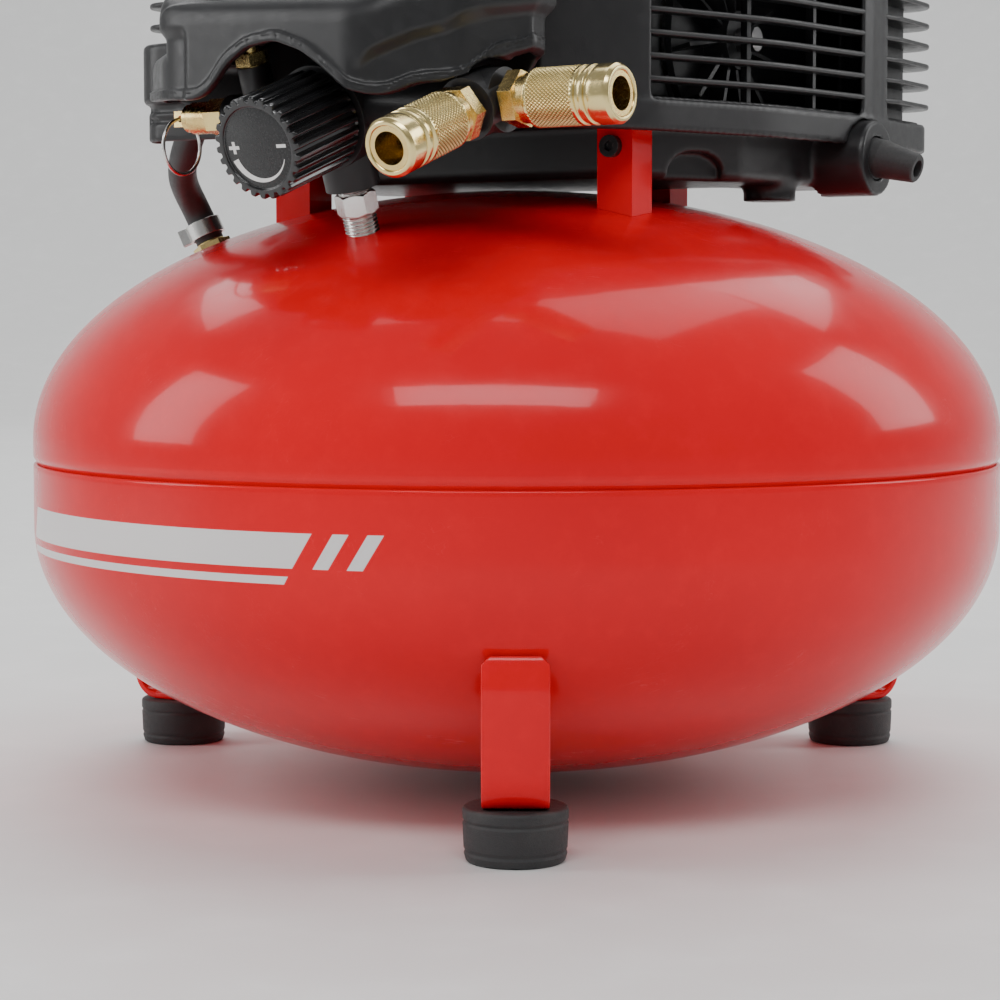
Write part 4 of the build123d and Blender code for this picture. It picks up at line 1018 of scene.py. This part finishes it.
def sleeve(side, base, axis, face):
    """Knurled brass sleeve whose front face is `face` along the axis."""
    radius, back = SLEEVE_RADIUS, face - SLEEVE_LENGTH
    groove = radius - 1.0
    profile = [
        (back + 7.2, 8.3), (back + 7.2, 9.4), (back + 0.25, 9.4), (back, 9.65),
        (back, radius - 0.8), (back + 0.8, radius),
        (face - 14.8, radius), (face - 14.3, groove), (face - 12.8, groove),
        (face - 12.3, radius), (face - 10.7, radius), (face - 10.2, groove),
        (face - 8.9, groove), (face - 8.4, radius), (face - 1.4, radius),
        (face - 0.3, radius - 0.9), (face, radius - 1.3), (face, 8.6), (face - 0.35, 8.28),
        (face - 3, 8.28)]
    start, end = back + 1.6, face - 16.0           # knurled length
    rows = dense(rounded(profile, 0.25, 3), 2.2)
    rows = rows[(rows[:, 0] <= start) | (rows[:, 0] >= end) | (rows[:, 1] < radius - 0.3)]
    after = int(np.argmax((rows[:, 0] >= end) & (rows[:, 1] > radius - 0.4)))
    fine = np.arange(start, end, 0.16 * COARSE)
    fine = np.column_stack([fine, np.full(len(fine), radius)])
    rows = np.concatenate([rows[:after], fine, rows[after:]])
    cuts = []

    def knurl(along, rim, angle):
        teeth = angle * KNURL_TEETH / (2 * math.pi)
        ridges = [1 - np.abs((teeth + way * along / KNURL_LEAD) % 1.0 - 0.5) * 2
                  for way in (1, -1)]
        depth = np.clip((0.46 - np.minimum(*ridges)) / 0.46, 0, 1)
        where = np.clip(np.minimum(along - start, end - along) / 0.5, 0, 1)
        depth = depth * where * (rim > radius - 0.1)
        cuts.append(depth.ravel())
        return rim - KNURL_DEPTH * depth

    solid = revolve(rows, base, axis, knurl, KNURL_STEPS, closed=True)
    made = build(side + "_sleeve_look", solid, "sleeve_brass",
                 side + "_coupler_sleeve", body=side + "_sleeve_body", sharp=45)
    # knurl cut depth for each point, which the sleeve material turns into painted shade
    attribute = made.data.attributes.new("cut", "FLOAT", "POINT")
    attribute.data.foreach_set("value", cuts[0].astype(np.float32))


def hexagon(base, axis, low, high, flats):
    """Hexagon across `flats`, its corners chamfered at both faces."""
    inset = np.linspace(0, 1.4, 8)
    along = [low, *(low + inset), *(high - inset[::-1]), high]

    def shape(along, radius, angle):
        from_flat = (angle + math.pi / 6) % (math.pi / 3) - math.pi / 6
        chamfer = flats / 2 * 0.975 + np.minimum(along - low, high - along) * 1.45
        out = np.minimum(radius / np.cos(from_flat), chamfer)
        out[0], out[-1] = flats * 0.30, flats * 0.30
        return out
    return revolve([(s, flats / 2) for s in along], base, axis, shape, start=RIGHT)


def screw_thread(base, axis, low, high, radius, pitch=1.41, depth=0.65):
    along = [low, *np.arange(low, high + 0.01, pitch / 8), high]

    def shape(along, radius, angle):
        turn = (along / pitch - angle / (2 * math.pi)) % 1.0
        ridge = np.clip(np.abs(turn - 0.5) * 2 * 1.25 - 0.1, 0, 1)
        fade = np.clip(np.minimum(along - low, high - along) / 1.2, 0, 1)
        out = radius - depth + depth * ridge * (0.35 + 0.65 * fade)
        out[0], out[-1] = 0.5, 0.5
        return out
    return revolve([(s, radius) for s in along], base, axis, shape, 72)


def outlet_nipple():
    base = at_regulator(0, 0, -48.6)
    core = rounded([(7.0, 0.5), (7.0, 6.1), (16.5, 6.1), (16.5, 0.5)], 0.2, 2)
    solid = merge(screw_thread(base, UP, -8.0, 7.3, 6.8),
                  screw_thread(base, UP, 16.3, 30.4, 6.8),
                  hexagon(base, UP, 7.4, 16.2, 14.3),
                  revolve(core, base, UP, around=48))
    build("nipple_look", solid, "bright_steel", "outlet_nipple")


# ---------------------------------------------------------------- gauge dials
TICKS, TICK_SWEEP, TICK_START = 30, 270, 225       # spaces, degrees, degrees


def dial_ticks():
    panel_up = np.cross(PANEL_NORMAL, HEAD_RIGHT)
    for letter, gauge_u in zip("ab", GAUGES_U):
        centre = np.array([gauge_u, PANEL_V, PANEL_Z])

        def place(right, up, out):
            return from_head(centre + PANEL_NORMAL * out + HEAD_RIGHT * right + panel_up * up)

        solids = []
        for k in range(TICKS + 1):
            angle = math.radians(TICK_START - TICK_SWEEP * k / TICKS)
            inner, half_width = (12.6, 0.42) if k % 5 == 0 else (14.6, 0.22)
            outer = 16.4
            out = np.array([math.cos(angle), math.sin(angle)])
            side = np.array([-math.sin(angle), math.cos(angle)]) * half_width
            corners = [out * inner - side, out * outer - side, out * outer + side,
                       out * inner + side]
            solids.append(slab(corners, 0.0, 0.12, place))
        build("dial_ticks_" + letter, merge(*solids), "print_black")


tank()
legs()
covers()
blades()
console()
tray()
knob()
sleeve("left", at_regulator(COUPLER_X, 0, 0), FRONT, face=59.4)
sleeve("right", at_regulator(COUPLER_X, RIGHT_COUPLER_BACK, 0), RIGHT, face=60.7)
outlet_nipple()
dial_ticks()

# CAD pieces that stay in view
slots = {piece["node"]: piece["material_slot"] for piece in frame["record"]["subparts"]}
for name, cad_piece in frame["nodes"].items():
    cad_piece.data.materials.clear()
    cad_piece.data.materials.append(MATERIALS[slots[name]])


# ---------------------------------------------------------------- room
def room_floor():
    """Round floor that curves up into a wall."""
    around = 144
    cove = rounded([(0.02, 0), (6000, 0), (6000, 4600)], [0, 2600, 0], 24)     # radius, height
    turn = np.linspace(0, 2 * math.pi, around + 1)[:-1]
    points = np.array([(r * math.cos(a), r * math.sin(a), z) for r, z in cove for a in turn])
    faces = strips(len(cove), around, wrap=False)[:, [0, 3, 2, 1]]
    MATERIALS["floor"] = material(
        "pale_floor", color=(0.80, 0.80, 0.79), tint=(0.76, 0.76, 0.75), rough=(0.55, 0.1),
        mottle=(0.3, 400), grain=(3.0, 0.02), bevel=0)
    build("floor", (points, faces), "floor", body=None)


def softbox(name, location, target, size, power):
    light = bpy.data.lights.new(name, "AREA")
    light.shape = "RECTANGLE"
    light.size, light.size_y = size
    light.energy = power
    lamp = bpy.data.objects.new(name, light)
    bpy.context.scene.collection.objects.link(lamp)
    lamp.location = location
    toward = Vector(target) - Vector(location)
    lamp.rotation_euler = toward.to_track_quat("-Z", "Y").to_euler()


room_floor()
world = bpy.data.worlds.new("soft_room")
bpy.context.scene.world = world
world.use_nodes = True
background = world.node_tree.nodes["Background"].inputs
background["Color"].default_value = (0.93, 0.95, 1.0, 1)
background["Strength"].default_value = 0.34

# Name, location (m), target (m), size (m), power (W)
for lamp_row in (("key", (-0.15, -1.55, 1.65), (0, 0, 0.2), (1.5, 0.5), 20),
                 ("left", (-1.9, -0.2, 0.9), (0, 0, 0.25), (0.7, 1.3), 15),
                 ("right", (1.9, 0.3, 1.1), (0, 0, 0.25), (0.8, 1.3), 15),
                 ("top", (0.1, 0.5, 2.2), (0, 0, 0.2), (1.8, 1.2), 16),
                 ("backdrop", (0, 2.6, 3.0), (0, 3.2, 0), (4.5, 2.5), 110)):
    softbox(*lamp_row)

lens = bpy.data.cameras.new("camera")
lens.lens = 94.54
lens.sensor_width = 36.0
lens.clip_start, lens.clip_end = 0.02, 50
camera = bpy.data.objects.new("camera", lens)
bpy.context.scene.collection.objects.link(camera)
camera.location = (0.00134, -1.136, 0.202)
camera.rotation_euler = (math.radians(90) - 0.0722, 0, 0.0074)     # level, less a slight dip
bpy.context.scene.camera = camera
